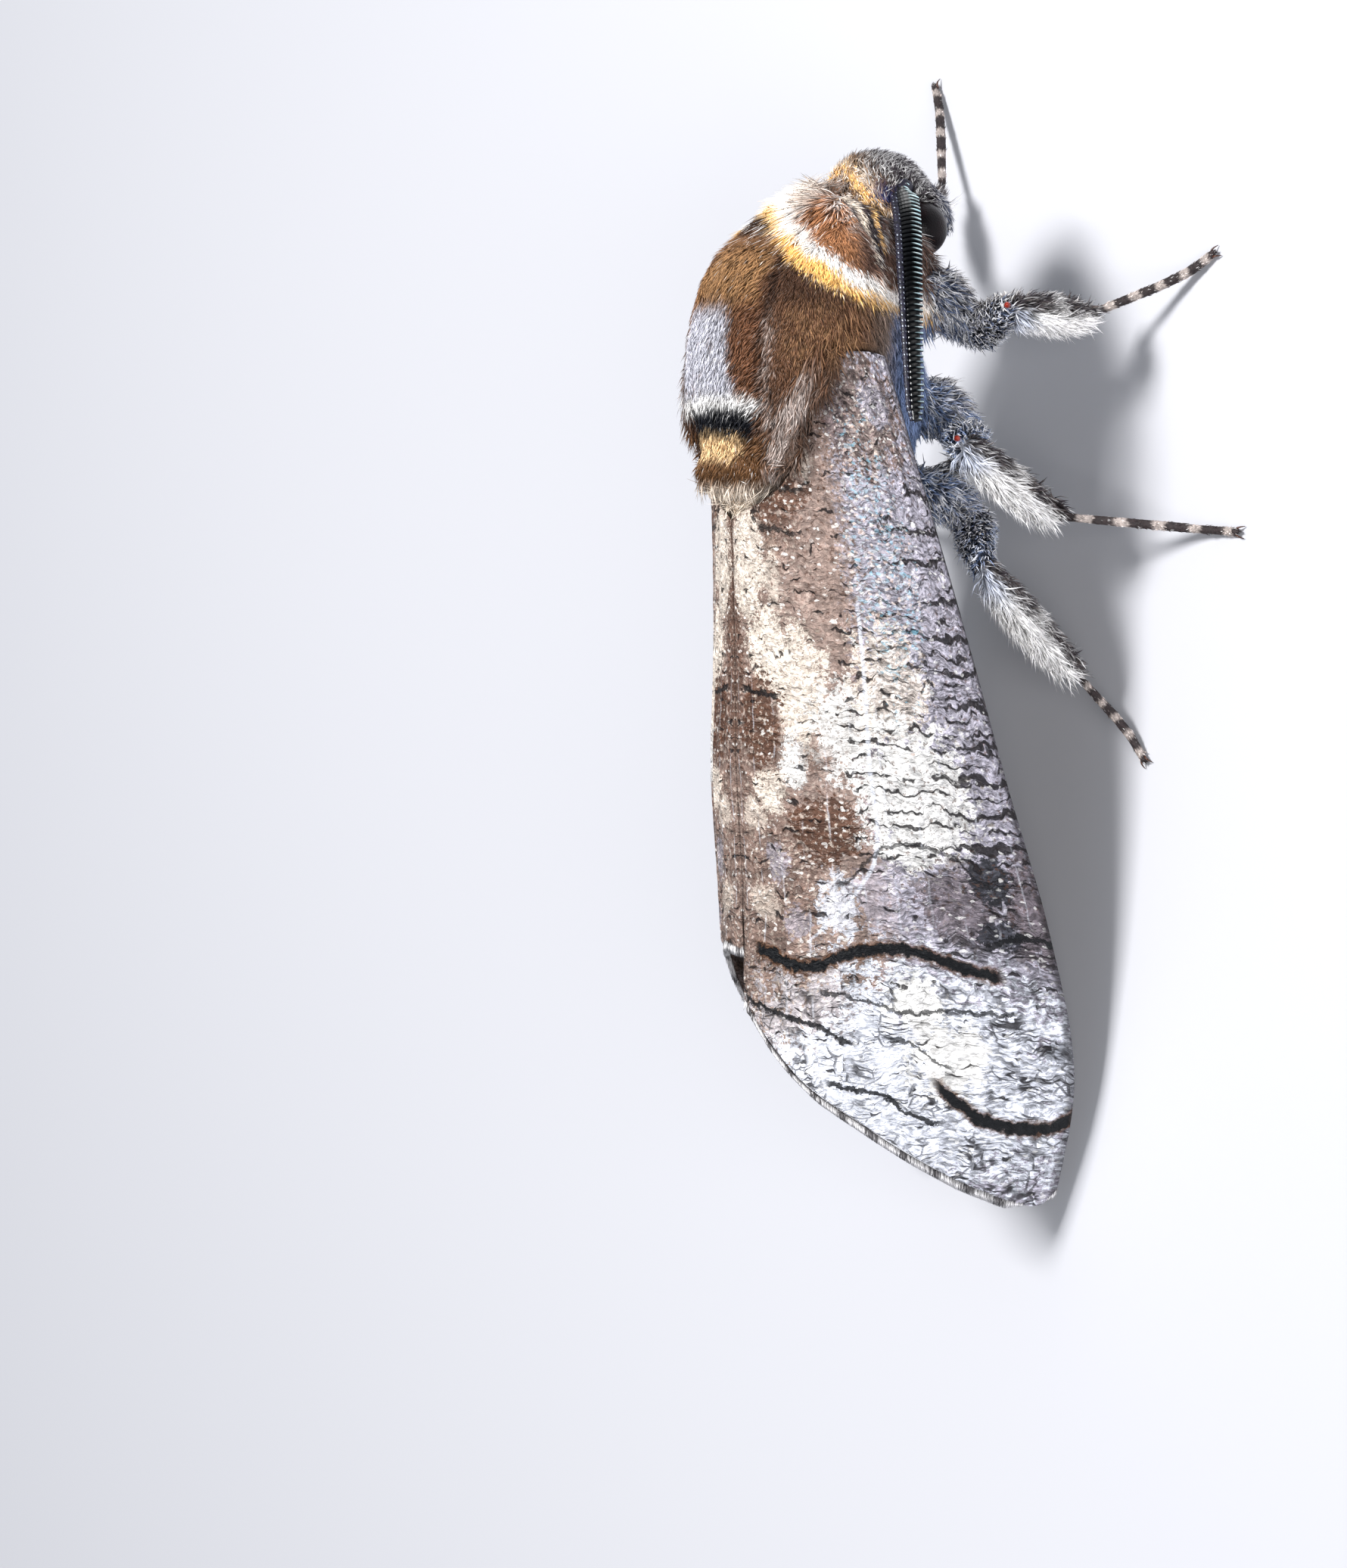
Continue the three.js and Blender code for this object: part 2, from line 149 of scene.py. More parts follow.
# The roof of the folded wings: ridge height, half width, hem height and roundness of its arch.
ROOF_X = (-24, -18, -12, -6, 0, 6, 12)
ROOF_RIDGE = (13.0, 14.4, 15.2, 16.1, 16.8, 17.6, 18.4)
ROOF_HALF = (4.5, 6.5, 7.1, 7.2, 6.9, 6.2, 5.7)
ROOF_HEM = (0.6, 1.6, 4.0, 6.9, 9.4, 11.7, 14.2)
ROOF_POWER = (2, 2, 2, 1.9, 1.65, 1.6, 1.7)

# By the share of the way from the ridge to the hem: where a forewing starts, where it ends, and how
# much further forward the left one ends.
SHARE_ROOT = ((0, 0.3, 0.45, 0.6, 0.8, 1), (4.2, 5.6, 7.8, 11.0, 11.5, 11.4))
SHARE_EDGE = ((0, 0.25, 0.45, 0.7, 0.88, 0.96, 1),
              (-16.2, -19.3, -21.0, -23.0, -24.0, -24.1, -23.4))
SHARE_LAG = ((0, 0.3, 0.6, 1), (2.1, 5.6, 4.0, 1.5))

SIDES = {"l": 1, "r": -1}
LEG_NAMES = ("foreleg", "midleg", "hindleg")
LEG_PARTS = ("coxa", "femur", "tibia", "tarsus")


def along(stations, values, x):
    """A smooth curve through values at rising stations."""
    stations = np.asarray(stations, float)
    values = np.asarray(values, float)
    x = np.clip(np.asarray(x, float), stations[0], stations[-1])
    slope = np.empty_like(values)
    slope[1:-1] = (values[2:] - values[:-2]) / (stations[2:] - stations[:-2])
    slope[0] = (values[1] - values[0]) / (stations[1] - stations[0])
    slope[-1] = (values[-1] - values[-2]) / (stations[-1] - stations[-2])
    i = np.clip(np.searchsorted(stations, x, side="right") - 1, 0, len(stations) - 2)
    run = stations[i + 1] - stations[i]
    t = (x - stations[i]) / run
    blend = t * t * (3 - 2 * t)
    swing = run * (slope[i] * t * (1 - t) ** 2 - slope[i + 1] * t * t * (1 - t))
    return values[i] + (values[i + 1] - values[i]) * blend + swing


def to_frame(points):
    return (np.asarray(points, float) - (CENTRE_X, 0, 0)) * MM


def to_moth(points):
    return np.asarray(points, float) / MM + (CENTRE_X, 0, 0)


def unit(vectors):
    length = np.linalg.norm(vectors, axis=-1, keepdims=True)
    return vectors / np.maximum(length, 1e-9)


def smooth_step(value, low, high):
    t = np.clip((value - low) / (high - low), 0, 1)
    return t * t * (3 - 2 * t)


def below(value, low, high):
    """1 under low, falling to 0 at high."""
    return 1 - smooth_step(value, low, high)


def window(value, low, high, soft):
    """1 between low and high, falling to 0 over soft on either side."""
    return smooth_step(value, low - soft, low + soft) * below(value, high - soft, high + soft)


def beside(*arrays):
    """Arrays side by side along a new last axis, as coordinates are."""
    return np.stack(arrays, axis=-1)


def mottle(points, scale, seed=0.0):
    """Smooth noise from about -1 to 1, with features of 1 / scale millimetres."""
    shift = Vector((seed * 7.3, seed * 3.1, seed * 5.7))
    return np.array([noise.noise(Vector(p) * scale + shift) for p in points.tolist()])


def tint(red, green, blue):
    """A display colour as the linear one that shaders and attributes use."""
    srgb = np.array((red, green, blue), float)
    return np.where(srgb <= 0.04045, srgb / 12.92, ((srgb + 0.055) / 1.055) ** 2.4)


# ---- Meshes ----

def mesh_piece(name, points, faces, material, slot, smooth=True, replaced=()):
    """A named piece of the moth from points in the moth's frame and faces of any size."""
    mesh = bpy.data.meshes.new(name)
    mesh.from_pydata(to_frame(points).tolist(), [], faces)
    mesh.polygons.foreach_set("use_smooth", [smooth] * len(mesh.polygons))
    mesh.update()
    return finish_piece(name, mesh, material, slot, replaced)


def in_scene(name, data):
    """A new object in the scene."""
    item = bpy.data.objects.new(name, data)
    bpy.context.scene.collection.objects.link(item)
    return item


def finish_piece(name, mesh, material, slot, replaced=()):
    piece = in_scene(name, mesh)
    mesh.materials.append(material)
    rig.ride(piece, "root")
    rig.slot(piece, slot)
    if replaced:
        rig.replaces(piece, *replaced)
    return piece


def put_attribute(mesh, name, kind, values):
    """Writes one value for each point: kind is FLOAT, FLOAT_VECTOR or FLOAT_COLOR."""
    values = np.asarray(values, float)
    if kind == "FLOAT_COLOR":
        values = np.column_stack([values, np.ones(len(values))])
    key = {"FLOAT": "value", "FLOAT_VECTOR": "vector", "FLOAT_COLOR": "color"}[kind]
    attribute = mesh.attributes.new(name, kind, "POINT")
    attribute.data.foreach_set(key, values.astype(np.float32).ravel())


# ---- Shader building ----

class Value:
    """What a socket gives. Arithmetic on it adds nodes, of vectors where the socket gives one."""

    def __init__(self, build, socket):
        self.build = build
        self.socket = socket

    def __add__(self, other):
        return self.build.math("ADD", self, other)

    def __sub__(self, other):
        return self.build.math("SUBTRACT", self, other)

    def __mul__(self, other):
        return self.build.math("MULTIPLY", self, other)

    def __truediv__(self, other):
        return self.build.math("DIVIDE", self, other)

    def __abs__(self):
        return self.build.math("ABSOLUTE", self)

    def __round__(self):
        return self.build.math("ROUND", self)


class Shader:
    """Adds nodes to a tree whose last node takes what the tree gives."""

    def __init__(self, tree, last):
        self.tree = tree
        self.last = last

    def feed(self, socket, value):
        if isinstance(value, Value):
            self.tree.links.new(value.socket, socket)
        else:
            socket.default_value = (*value[:3], 1) if socket.type == "RGBA" else value

    def give(self, **results):
        """Feeds the last node by its inputs' names, and returns the tree."""
        for key, value in results.items():
            self.feed(self.last.inputs[key.replace("_", " ")], value)
        return self.tree

    def add(self, kind, values, output=0, **settings):
        """The output of a new node, whose inputs take values in order or by name."""
        new = self.tree.nodes.new(kind)
        for key, value in settings.items():
            setattr(new, key, value)
        for key, value in values.items() if isinstance(values, dict) else enumerate(values):
            self.feed(new.inputs[key], value)
        return Value(self, new.outputs[output])

    def math(self, operation, *values):
        """Arithmetic: on vectors where the first value is one, else on numbers."""
        on_vectors = isinstance(values[0], Value) and values[0].socket.type != "VALUE"
        return self.add("ShaderNodeVectorMath" if on_vectors else "ShaderNodeMath", values,
                        1 if operation == "LENGTH" else 0, operation=operation)

    def split(self, vector):
        first = self.add("ShaderNodeSeparateXYZ", [vector])
        return [Value(self, socket) for socket in first.socket.node.outputs]

    def join(self, x, y=0.0, z=0.0):
        return self.add("ShaderNodeCombineXYZ", [x, y, z])

    def mix(self, share, first, second, blend="MIX"):
        """Colours: first where share is 0, second where it is 1."""
        values = {0: share, 6: first, 7: second}
        return self.add("ShaderNodeMix", values, 2, data_type="RGBA", blend_type=blend)

    def lit(self, colour, light):
        """A colour made lighter or darker."""
        return self.mix(1.0, colour, self.join(light, light, light), "MULTIPLY")

    def ramp(self, value, low, high, start=0.0, end=1.0, step="SMOOTHSTEP"):
        """From start to end as value goes from low to high."""
        return self.add("ShaderNodeMapRange", [value, low, high, start, end], interpolation_type=step)

    def band(self, value, low, high, soft):
        """1 while value is between low and high, fading over soft."""
        rise = self.ramp(value, low - soft, low + soft)
        return rise * self.ramp(value, high - soft, high + soft, 1.0, 0.0)

    def noise(self, place, scale, detail=2.0, rough=0.5, output="Fac"):
        values = {"Vector": place, "Scale": scale, "Detail": detail, "Roughness": rough}
        return self.add("ShaderNodeTexNoise", values, output)

    def cells(self, place, scale, feature="F1", output="Distance"):
        return self.add("ShaderNodeTexVoronoi", {"Vector": place, "Scale": scale}, output, feature=feature)

    def chance(self, row):
        """A random number from 0 to 1 for each whole number."""
        return self.add("ShaderNodeTexWhiteNoise", {"W": row}, noise_dimensions="1D")

    def curve(self, value, points):
        """A smooth curve through points that run from 0 to 1 both ways."""
        new = self.add("ShaderNodeFloatCurve", {"Value": value})
        mapping = new.socket.node.mapping
        for _ in points[2:]:
            mapping.curves[0].points.new(0.5, 0.5)
        for point, place in zip(mapping.curves[0].points, points):
            point.location = place
        mapping.update()
        return new

    def attribute(self, name, output="Fac"):
        return self.add("ShaderNodeAttribute", [], output, attribute_name=name)

    def place(self):
        """The place on the piece itself, in metres."""
        return self.add("ShaderNodeTexCoord", [], "Object")

    def group(self, tree, **inputs):
        """A node group's outputs by name."""
        first = self.add("ShaderNodeGroup", inputs, node_tree=tree)
        return {socket.name: Value(self, socket) for socket in first.socket.node.outputs}

    def bump(self, height, depth, strength=1.0):
        return self.add("ShaderNodeBump", {"Height": height, "Distance": depth * MM, "Strength": strength})


def new_group(name, inputs, outputs):
    """An empty node group: (its shader builder, its inputs by name). A number is a float's default."""
    tree = bpy.data.node_groups.new(name, "ShaderNodeTree")
    for label, kind in inputs.items():
        is_number = isinstance(kind, float)
        socket = tree.interface.new_socket(label, in_out="INPUT", socket_type=FLOAT if is_number else kind)
        if is_number:
            socket.default_value = kind
    for label, kind in outputs.items():
        tree.interface.new_socket(label, in_out="OUTPUT", socket_type=kind)
    build = Shader(tree, tree.nodes.new("NodeGroupOutput"))
    given = tree.nodes.new("NodeGroupInput").outputs
    return build, {socket.name: Value(build, socket) for socket in given if socket.name}


def new_material(name, **constants):
    """A material of one Principled shader: (the material, its shader builder)."""
    material = bpy.data.materials.new(name)
    material.use_nodes = True
    build = Shader(material.node_tree, material.node_tree.nodes["Principled BSDF"])
    build.give(**constants)
    return material, build


# ---- Shared effects ----

FLOAT = "NodeSocketFloat"
VECTOR = "NodeSocketVector"
COLOUR = "NodeSocketColor"

CREAM = tint(0.97, 0.91, 0.85)
WHITE = tint(0.95, 0.96, 1.0)
BLANK = tint(1.0, 0.99, 0.975)
LILAC = tint(0.73, 0.71, 0.76)
SLATE = tint(0.46, 0.41, 0.43)
BROWN = tint(0.38, 0.26, 0.20)
UMBER = tint(0.53, 0.44, 0.40)
ROSE = tint(0.64, 0.55, 0.51)
TEAL = tint(0.08, 0.12, 0.16)
BLACK = tint(0.02, 0.03, 0.05)
CRACK = tint(0.09, 0.06, 0.07)
TAN = tint(0.42, 0.28, 0.18)

# Soft patches of the forewing, in the order they lie on each other: where along x, how far down
# from the ridge, half length, half width, colour, strength.
WING_PATCHES = (
    (-18.6, 8.0, 5.2, 7.8, WHITE, 1.0),
    (-15.3, 2.4, 1.9, 3.2, UMBER, 0.65),
    (-10.3, 2.4, 3.1, 2.8, UMBER, 0.9),
    (-7.9, 1.4, 0.8, 0.7, CREAM, 0.55),
    (-9.9, 2.7, 0.9, 0.6, LILAC, 0.6),
    (-11.6, 1.7, 0.7, 0.9, CREAM, 0.45),
    (-12.3, 3.6, 0.6, 0.7, LILAC, 0.5),
    (9.0, 9.8, 2.5, 3.4, UMBER, 0.85),
    (8.6, 8.4, 1.3, 0.8, SLATE, 0.6),
    (9.4, 11.2, 0.9, 1.1, LILAC, 0.8),
    (0.0, 0.2, 5.4, 0.8, BROWN, 0.7),
    (2.7, 1.7, 2.5, 1.4, CREAM, 0.9),
    (5.7, 4.0, 1.3, 2.0, BROWN, 0.9),
    (6.9, 5.6, 0.9, 0.8, CREAM, 0.6),
    (2.0, 3.6, 1.6, 0.5, CREAM, 0.55),
    (3.7, 4.4, 1.2, 1.2, BROWN, 0.7),
    (1.6, 5.3, 2.7, 1.5, ROSE, 0.85),
    (-1.2, 2.9, 1.8, 1.3, CREAM, 0.95),
    (-2.6, 4.6, 2.5, 1.5, CREAM, 0.9),
    (-4.3, 6.6, 2.1, 1.6, BLANK, 0.8),
    (-2.6, 8.8, 2.9, 1.7, CREAM, 0.75),
    (-5.7, 3.9, 1.1, 0.7, BLANK, 0.85),
    (-6.9, 2.5, 0.9, 1.0, CREAM, 0.85),
    (-4.0, 2.1, 1.9, 1.25, BROWN, 0.95),
    (-5.4, 5.3, 0.6, 0.9, BROWN, 0.5),
    (-8.3, 5.5, 1.4, 1.6, BROWN, 0.95),
    (-6.7, 9.4, 3.1, 2.5, BLANK, 0.95),
    (-11.5, 5.6, 1.3, 0.9, WHITE, 0.75),
    (-10.9, 7.6, 1.5, 1.3, LILAC, 0.6),
    (-8.9, 8.9, 0.9, 1.5, BLANK, 0.9),
    (-11.0, 10.6, 1.7, 1.7, SLATE, 0.8),
    (-11.2, 13.3, 2.4, 1.1, SLATE, 0.85),
    (-10.0, 11.9, 1.1, 0.9, TEAL, 0.85),
    (-12.2, 11.9, 0.6, 0.9, TEAL, 0.85),
    (-15.5, 8.4, 1.3, 1.0, BLANK, 1.0),
    (-17.6, 9.5, 1.6, 1.3, BLANK, 1.0),
    (-17.0, 13.2, 0.4, 0.7, TEAL, 0.6),
)

# Dark lines across the forewing: their x, a curve added to it down from the ridge, half width, where
# they start and end, and how strong they are. The curve's points give share of WING_ARC and share
# of LINE_REACH.
LINE_REACH = 4.0
WING_LINES = (
    (-15.2, ((0, 0.42), (0.09, 0.42), (0.29, 0.27), (0.39, 0.40), (0.55, 0.53), (0.63, 0.5),
             (0.73, 0.38), (0.85, 0.30), (1, 0.3)), 0.24, 1.1, 11.7, 1.0),
    (-14.2, ((0, 0.3), (0.8, 0.36), (0.9, 0.48), (1, 0.42)), 0.13, 11.2, 14.1, 0.95),
    (-21.0, ((0, 0.9), (0.6, 0.66), (0.7, 0.42), (0.8, 0.2), (0.9, 0.17), (1, 0.32)),
     0.25, 9.0, 14.1, 1.0),
    (-12.0, ((0, 0.1), (0.42, 0.38), (0.5, 0.62), (0.62, 0.82), (0.75, 0.74), (0.85, 0.45), (1, 0.8)),
     0.075, 5.6, 12.2, 0.75),
    (-18.0, ((0, 0.6), (0.23, 0.42), (0.33, 0.35), (0.42, 0.2), (1, 0.1)), 0.12, 0.2, 6.0, 0.95),
    (-18.0, ((0, 0.8), (0.45, 0.68), (0.58, 0.57), (0.7, 0.62), (1, 0.56)), 0.08, 4.6, 12.0, 0.85),
    (-21.5, ((0, 0.75), (0.39, 0.62), (0.52, 0.54), (0.56, 0.42), (0.66, 0.3), (1, 0.2)),
     0.11, 4.8, 9.4, 0.95),
    (-19.6, ((0, 0.9), (0.5, 0.72), (0.6, 0.62), (0.66, 0.45), (1, 0.2)), 0.08, 7.2, 9.6, 0.85),
    (-5.0, ((0, 0.62), (0.1, 0.56), (0.2, 0.52), (1, 0.5)), 0.12, 0.9, 3.4, 0.9),
    (3.6, ((0, 0.5), (0.25, 0.52), (0.4, 0.5), (1, 0.5)), 0.1, 3.2, 5.9, 0.8),
    (2.0, ((0, 0.5), (0.25, 0.5), (0.4, 0.44), (1, 0.5)), 0.1, 2.8, 5.2, 0.8),
)
# Veins run along the wing this far apart, and rows of dashes and strokes lie across it.
VEIN_GAP = 1.27
VEIN_START = 0.45
DASH_GAP = 0.66
STROKE_GAP = 1.45
# Lines whose half width is more than this have a brown seam.
SEAMED_HALF = 0.2
# The patch near the root where painted glints of blue and gold lie on the scales.
PAINTED_GLINT_PATCH = (3.2, 9.4, 5.4, 1.7)
# The pale fold, by share of its run back and of WING_ARC.
WING_FOLD = ((0, 0.56), (0.5, 0.54), (0.74, 0.53), (0.83, 0.48), (1, 0.3))


def soft_patch_group():
    """1 inside an oval whose rim is torn by Ragged, 0 outside it."""
    inputs = {"Place": VECTOR, "Middle": VECTOR, "Reach": VECTOR, "Ragged": 0.0}
    build, given = new_group("soft patch", inputs, {"Mask": FLOAT})
    offset = (given["Place"] - given["Middle"]) / given["Reach"]
    distance = build.math("LENGTH", offset) + given["Ragged"]
    return build.give(Mask=build.ramp(distance, 0.92, 1.08, 1.0, 0.0))


class WingPatternAndPaintedLight:
    """The forewing's pattern, with painted glints and the painted shade of its ripples, layer on layer: x is along the
    moth, down is from the ridge, both in mm.
    """

    def __init__(self):
        outputs = {"Color": COLOUR, "Height": FLOAT, "Roughness": FLOAT}
        build, given = new_group("wing pattern and painted light", {"Place": VECTOR}, outputs)
        place = given["Place"]
        self.build = build
        self.place = place
        self.x, self.down, _ = build.split(place)
        self.patch_tree = soft_patch_group()

        # Neighbouring strips between veins have their pattern shifted a little.
        self.vein_share = (self.down - VEIN_START) / VEIN_GAP
        strip_chance = build.chance(build.math("FLOOR", self.vein_share))
        self.shift = (strip_chance - 0.5) * build.ramp(self.x, -8.0, -13.0)
        self.drift = build.noise(place, 0.55, 3.0, 0.55, output="Color") - (0.5, 0.5, 0.5)
        self.bent = place + self.drift * (1.7, 1.3, 0.0)

        # Scale-fine speckle that tears every soft edge, and grain that runs across the wing.
        self.speckle = build.noise(place * (4.4, 3.4, 1.0), 1.0, 3.0, 0.68)
        self.speckle_off = self.speckle - 0.5
        self.grain = build.noise(self.bent * (7.5, 1.9, 1.0), 1.0, 2.5, 0.6)
        self.ripple = build.noise(self.bent * (3.0, 0.85, 1.0), 1.0, 2.5, 0.55)
        self.ragged = (build.noise(place, 1.2, 3.0, 0.6) - 0.5) * 1.7 + self.speckle_off * 2.4
        self.worn = build.ramp(build.noise(place, 0.9, 2.0), 0.4, 0.62, 0.1, 1.0)
        self.wander = (build.noise(place, 1.7, 2.5) - 0.5) * 0.85
        flakes = build.cells(place * (9.5, 5.5, 1.0), 1.0, "F1", "Color")
        self.flake_light, self.flake_hue, _ = build.split(flakes)
        self.lay_ground()
        self.lay_dark_marks()
        self.lay_veins_and_scales()
        self.lay_fold_and_lines()

    def lay(self, share, tone):
        """Covers the colour so far with a tone where share is 1."""
        self.colour = self.build.mix(share, self.colour, tone)

    def patch(self, x_at, down_at, long, wide):
        """1 inside a ragged oval patch."""
        oval = {"Middle": (x_at, down_at, 0), "Reach": (long, wide, 1)}
        return self.build.group(self.patch_tree, Place=self.place, Ragged=self.ragged, **oval)["Mask"]

    def lay_ground(self):
        """Brown grey at the ridge, rosy in the middle, lilac grey at the front edge, the patches, and painted light
        and shade of the ripples.
        """
        build, x, down = self.build, self.x, self.down
        self.colour = build.mix(build.ramp(down, 2.0, 6.0), UMBER, ROSE)
        front = build.ramp(down + self.speckle_off * 5.0, 7.2, 8.6)
        self.lay(front, LILAC)
        blank = 0.0
        brown_share = build.ramp(down, 7.5, 4.0) * 0.6
        for *oval, tone, strength in WING_PATCHES:
            mask = self.patch(*oval) * strength
            self.lay(mask, tone)
            if tone is BLANK:
                blank = build.math("MAXIMUM", blank, mask)
            if tone is BROWN or tone is UMBER:
                brown_share = build.math("MAXIMUM", brown_share, mask)
        self.unmarked = build.ramp(blank, 0.0, 1.0, 1.0, 0.3)

        # Pale flecks in the brown, brown pits in the pale, paler and darker streaks along the grain, and painted light
        # and shade of the ripples.
        self.lay(build.ramp(self.speckle, 0.54, 0.63) * (brown_share * 0.55), CREAM)
        self.lay(build.ramp(self.speckle, 0.44, 0.37) * build.ramp(x, -14.0, -10.0, 0.06, 0.65), BROWN)
        cloud = build.ramp(build.noise(self.place, 1.1, 3.0), 0.3, 0.7, 0.82, 1.12)
        light = cloud - build.ramp(self.grain, 0.38, 0.58, 0.55, -0.2) * (front * self.unmarked)
        # Painted shade and light: darker in the ripples' troughs, lighter on their crests.
        light = light * build.ramp(self.ripple, 0.36, 0.64, 0.80, 1.10)
        # Painted light: the outer part is lifted by up to a fifth, against the shade that its bumps fall into.
        light = light * build.ramp(x, -13.5, -16.5, 1.0, 1.2)
        self.colour = build.lit(self.colour, light + self.shift * 0.25)

    def cross_strokes(self, run, gap, width):
        """Dark strokes along lines that are a gap apart in run, as wide as twice width: all in mm."""
        turn = run / gap
        return self.build.ramp(width - abs(turn - round(turn)) * gap, -0.03, 0.03)

    def pebble_gaps(self):
        """Thin dark gaps between pale pebbles towards the outer edge."""
        build, place = self.build, self.place
        sway = build.noise(place, 0.9, 0.5, 0.5, output="Color") - (0.5, 0.5, 0.5)
        cell_place = place * (1.9, 1.25, 1.0) + sway * (1.3, 1.0, 0.0) + build.join(self.shift * 2.0)
        fine_place = cell_place * (2.0, 2.0, 1.0)
        coarse_gap = build.ramp(build.cells(cell_place, 1.0, "DISTANCE_TO_EDGE"), 0.015, 0.07, 0.75, 0.0)
        fine_gap = build.ramp(build.cells(fine_place, 1.0, "DISTANCE_TO_EDGE"), 0.02, 0.09, 0.08, 0.0)
        pebbled = build.ramp(self.x + self.down * -0.22, -13.5, -18.0, 0.12, 1.0)
        self.pebbles = build.ramp(build.cells(fine_place, 1.0), 0.1, 0.7, 0.25, 0.0) * pebbled
        return build.math("MAXIMUM", coarse_gap, fine_gap) * self.worn * pebbled * self.unmarked

    def dashes(self):
        """Short dark dashes in broken rows across the wing, most in its pale middle."""
        build, x = self.build, self.x
        cut = build.noise(self.place * (1.5, 0.95, 1.0), 1.0, 1.5, 0.6)
        middle = build.band(x, -10.0, 1.5, 1.2) * build.ramp(self.down, 6.0, 7.4)
        ample = build.ramp(middle, 0.0, 1.0, -0.05, 0.05) + build.ramp(x, -13.0, -16.0, 0.0, -0.05)
        width = build.math("MINIMUM", (cut - 0.5 + ample) * 0.6, 0.07)
        return self.cross_strokes(build.split(self.bent)[0] + self.wander, DASH_GAP, width)

    def front_strokes(self):
        """Dark strokes that start at the front edge, each as long and as thick as its own chance."""
        build, x = self.build, self.x
        run = build.split(self.bent)[0] + self.wander * 0.8
        depth = self.down + build.chance(round(run / STROKE_GAP)) * 2.2
        width = build.ramp(depth, 9.6, 13.6, -0.06, 0.12) + self.speckle_off * 0.22
        width = width - build.ramp(x, 6.6, 7.4, 0.0, 0.4) - build.ramp(x, -9.5, -11.5, 0.0, 0.4)
        return self.cross_strokes(run, STROKE_GAP, width)

    def cracks(self):
        """Long cracks across the wing beyond the main band."""
        build = self.build
        strip_bent = self.bent + build.join(self.shift * 1.1)
        crack = build.noise(strip_bent * (1.5, 0.26, 1.0), 1.0, 1.2, 0.5)
        crack = build.ramp(abs(crack - 0.5), 0.006, 0.02, 1.0, 0.0)
        return crack * (build.ramp(self.x, -8.0, -14.5) * self.worn)

    def lay_dark_marks(self):
        build = self.build
        fine_marks = build.math("MAXIMUM", self.pebble_gaps(), self.dashes())
        long_marks = build.math("MAXIMUM", self.front_strokes(), self.cracks())
        self.dark = build.math("MAXIMUM", fine_marks, long_marks)
        self.lay(self.dark * 0.93, CRACK)

    def lay_veins_and_scales(self):
        """Veins are pale creases. Scales differ in lightness, with painted white glints, and painted glints of blue
        and gold near the root.
        """
        build = self.build
        wavy = self.vein_share + build.split(self.drift)[1] * 0.35
        crease = build.ramp(abs(wavy - round(wavy)), 0.015, 0.05, 0.3, 0.0) * build.ramp(self.x, 0.0, -5.0)
        self.lay(crease * build.ramp(build.noise(self.place, 0.8, 3.0), 0.45, 0.6), WHITE)

        light, hue = self.flake_light, self.flake_hue
        self.colour = build.lit(self.colour, build.ramp(light, 0.0, 1.0, 0.76, 1.24))
        # Painted glints: the lightest scales are laid near white.
        self.lay(build.ramp(light, 0.88, 0.96) * build.ramp(hue, 0.4, 0.6, 0.0, 0.6), BLANK)
        # Painted glints of blue and gold on the scales of the patch near the root.
        painted_glint = self.patch(*PAINTED_GLINT_PATCH) * build.ramp(light, 0.4, 0.8, 0.0, 0.55)
        self.lay(painted_glint, build.mix(hue, tint(0.50, 0.78, 0.88), tint(0.98, 0.85, 0.78)))

    def lay_fold_and_lines(self):
        """A pale fold, a dark front edge and the dark cross lines, the wide ones with brown seams."""
        build, x, down = self.build, self.x, self.down
        fold = build.curve(build.ramp(x, 2.0, -13.0, step="LINEAR"), WING_FOLD)
        off_fold = down - fold * WING_ARC + self.speckle_off * 0.25
        self.lay(build.ramp(abs(off_fold), 0.03, 0.13, 0.75, 0.0) * build.band(x, -13.0, 1.0, 0.6), WHITE)
        self.lay(build.ramp(down, 13.55, 13.85, 0.0, 0.7), CRACK)

        share = down / WING_ARC
        tremble = (build.noise(self.place, 2.4, 4.0, 0.65) - 0.5) * 0.75
        self.lines = 0.0
        for low, route, half, start, end, strength in WING_LINES:
            middle_x = build.curve(share, route) * LINE_REACH + low
            away = abs(x + tremble - middle_x) + self.speckle_off * (0.45 * half)
            inside = build.band(down, start, end, 0.25) * strength
            core = build.ramp(away, half * 0.7, half * 1.15, 1.0, 0.0) * inside
            if half > SEAMED_HALF:
                self.lay(build.ramp(away, half, half * 1.9, 0.8, 0.0) * inside, TAN)
            self.lay(core, BLACK)
            self.lines = build.math("MAXIMUM", self.lines, core)

    def finish(self):
        """The finished group, with a height in which flakes, grain and ripples stand up."""
        build, x = self.build, self.x
        height = build.ramp(self.flake_light, 0.0, 1.0) * 0.3 + self.grain * 0.8
        height = height + self.ripple * build.ramp(x, -13.0, -16.0, 1.6, 0.5)
        height = height + self.speckle * build.ramp(x, -13.0, -16.0, 0.6, 0.2)
        height = height + self.pebbles
        height = height - build.math("MAXIMUM", self.dark, self.lines) * 0.6
        roughness = build.ramp(self.grain, 0.3, 0.7, 0.42, 0.66)
        return build.give(Color=self.colour, Height=height, Roughness=roughness)


def tuft_shade_group():
    """A hair's colour: darker at its root and paler at its tip, painted shade deep in the coat and painted light on
    top of it, and a little unlike its neighbours.
    """
    inputs = {"Coat": COLOUR, "Along": 0.0, "Own": 0.5, "Root": 0.45, "Tip": 1.3}
    build, given = new_group("tuft shade", inputs, {"Color": COLOUR, "Roughness": FLOAT})
    light = given["Root"] + build.split(given["Coat"])[1] * 0.3
    light = light + build.ramp(given["Along"], 0.0, 1.0) * (given["Tip"] - given["Root"])
    light = light * build.ramp(given["Own"], 0.0, 1.0, 0.6, 1.3)
    return build.give(Color=build.lit(given["Coat"], light),
                      Roughness=build.ramp(given["Own"], 0.0, 1.0, 0.38, 0.62))


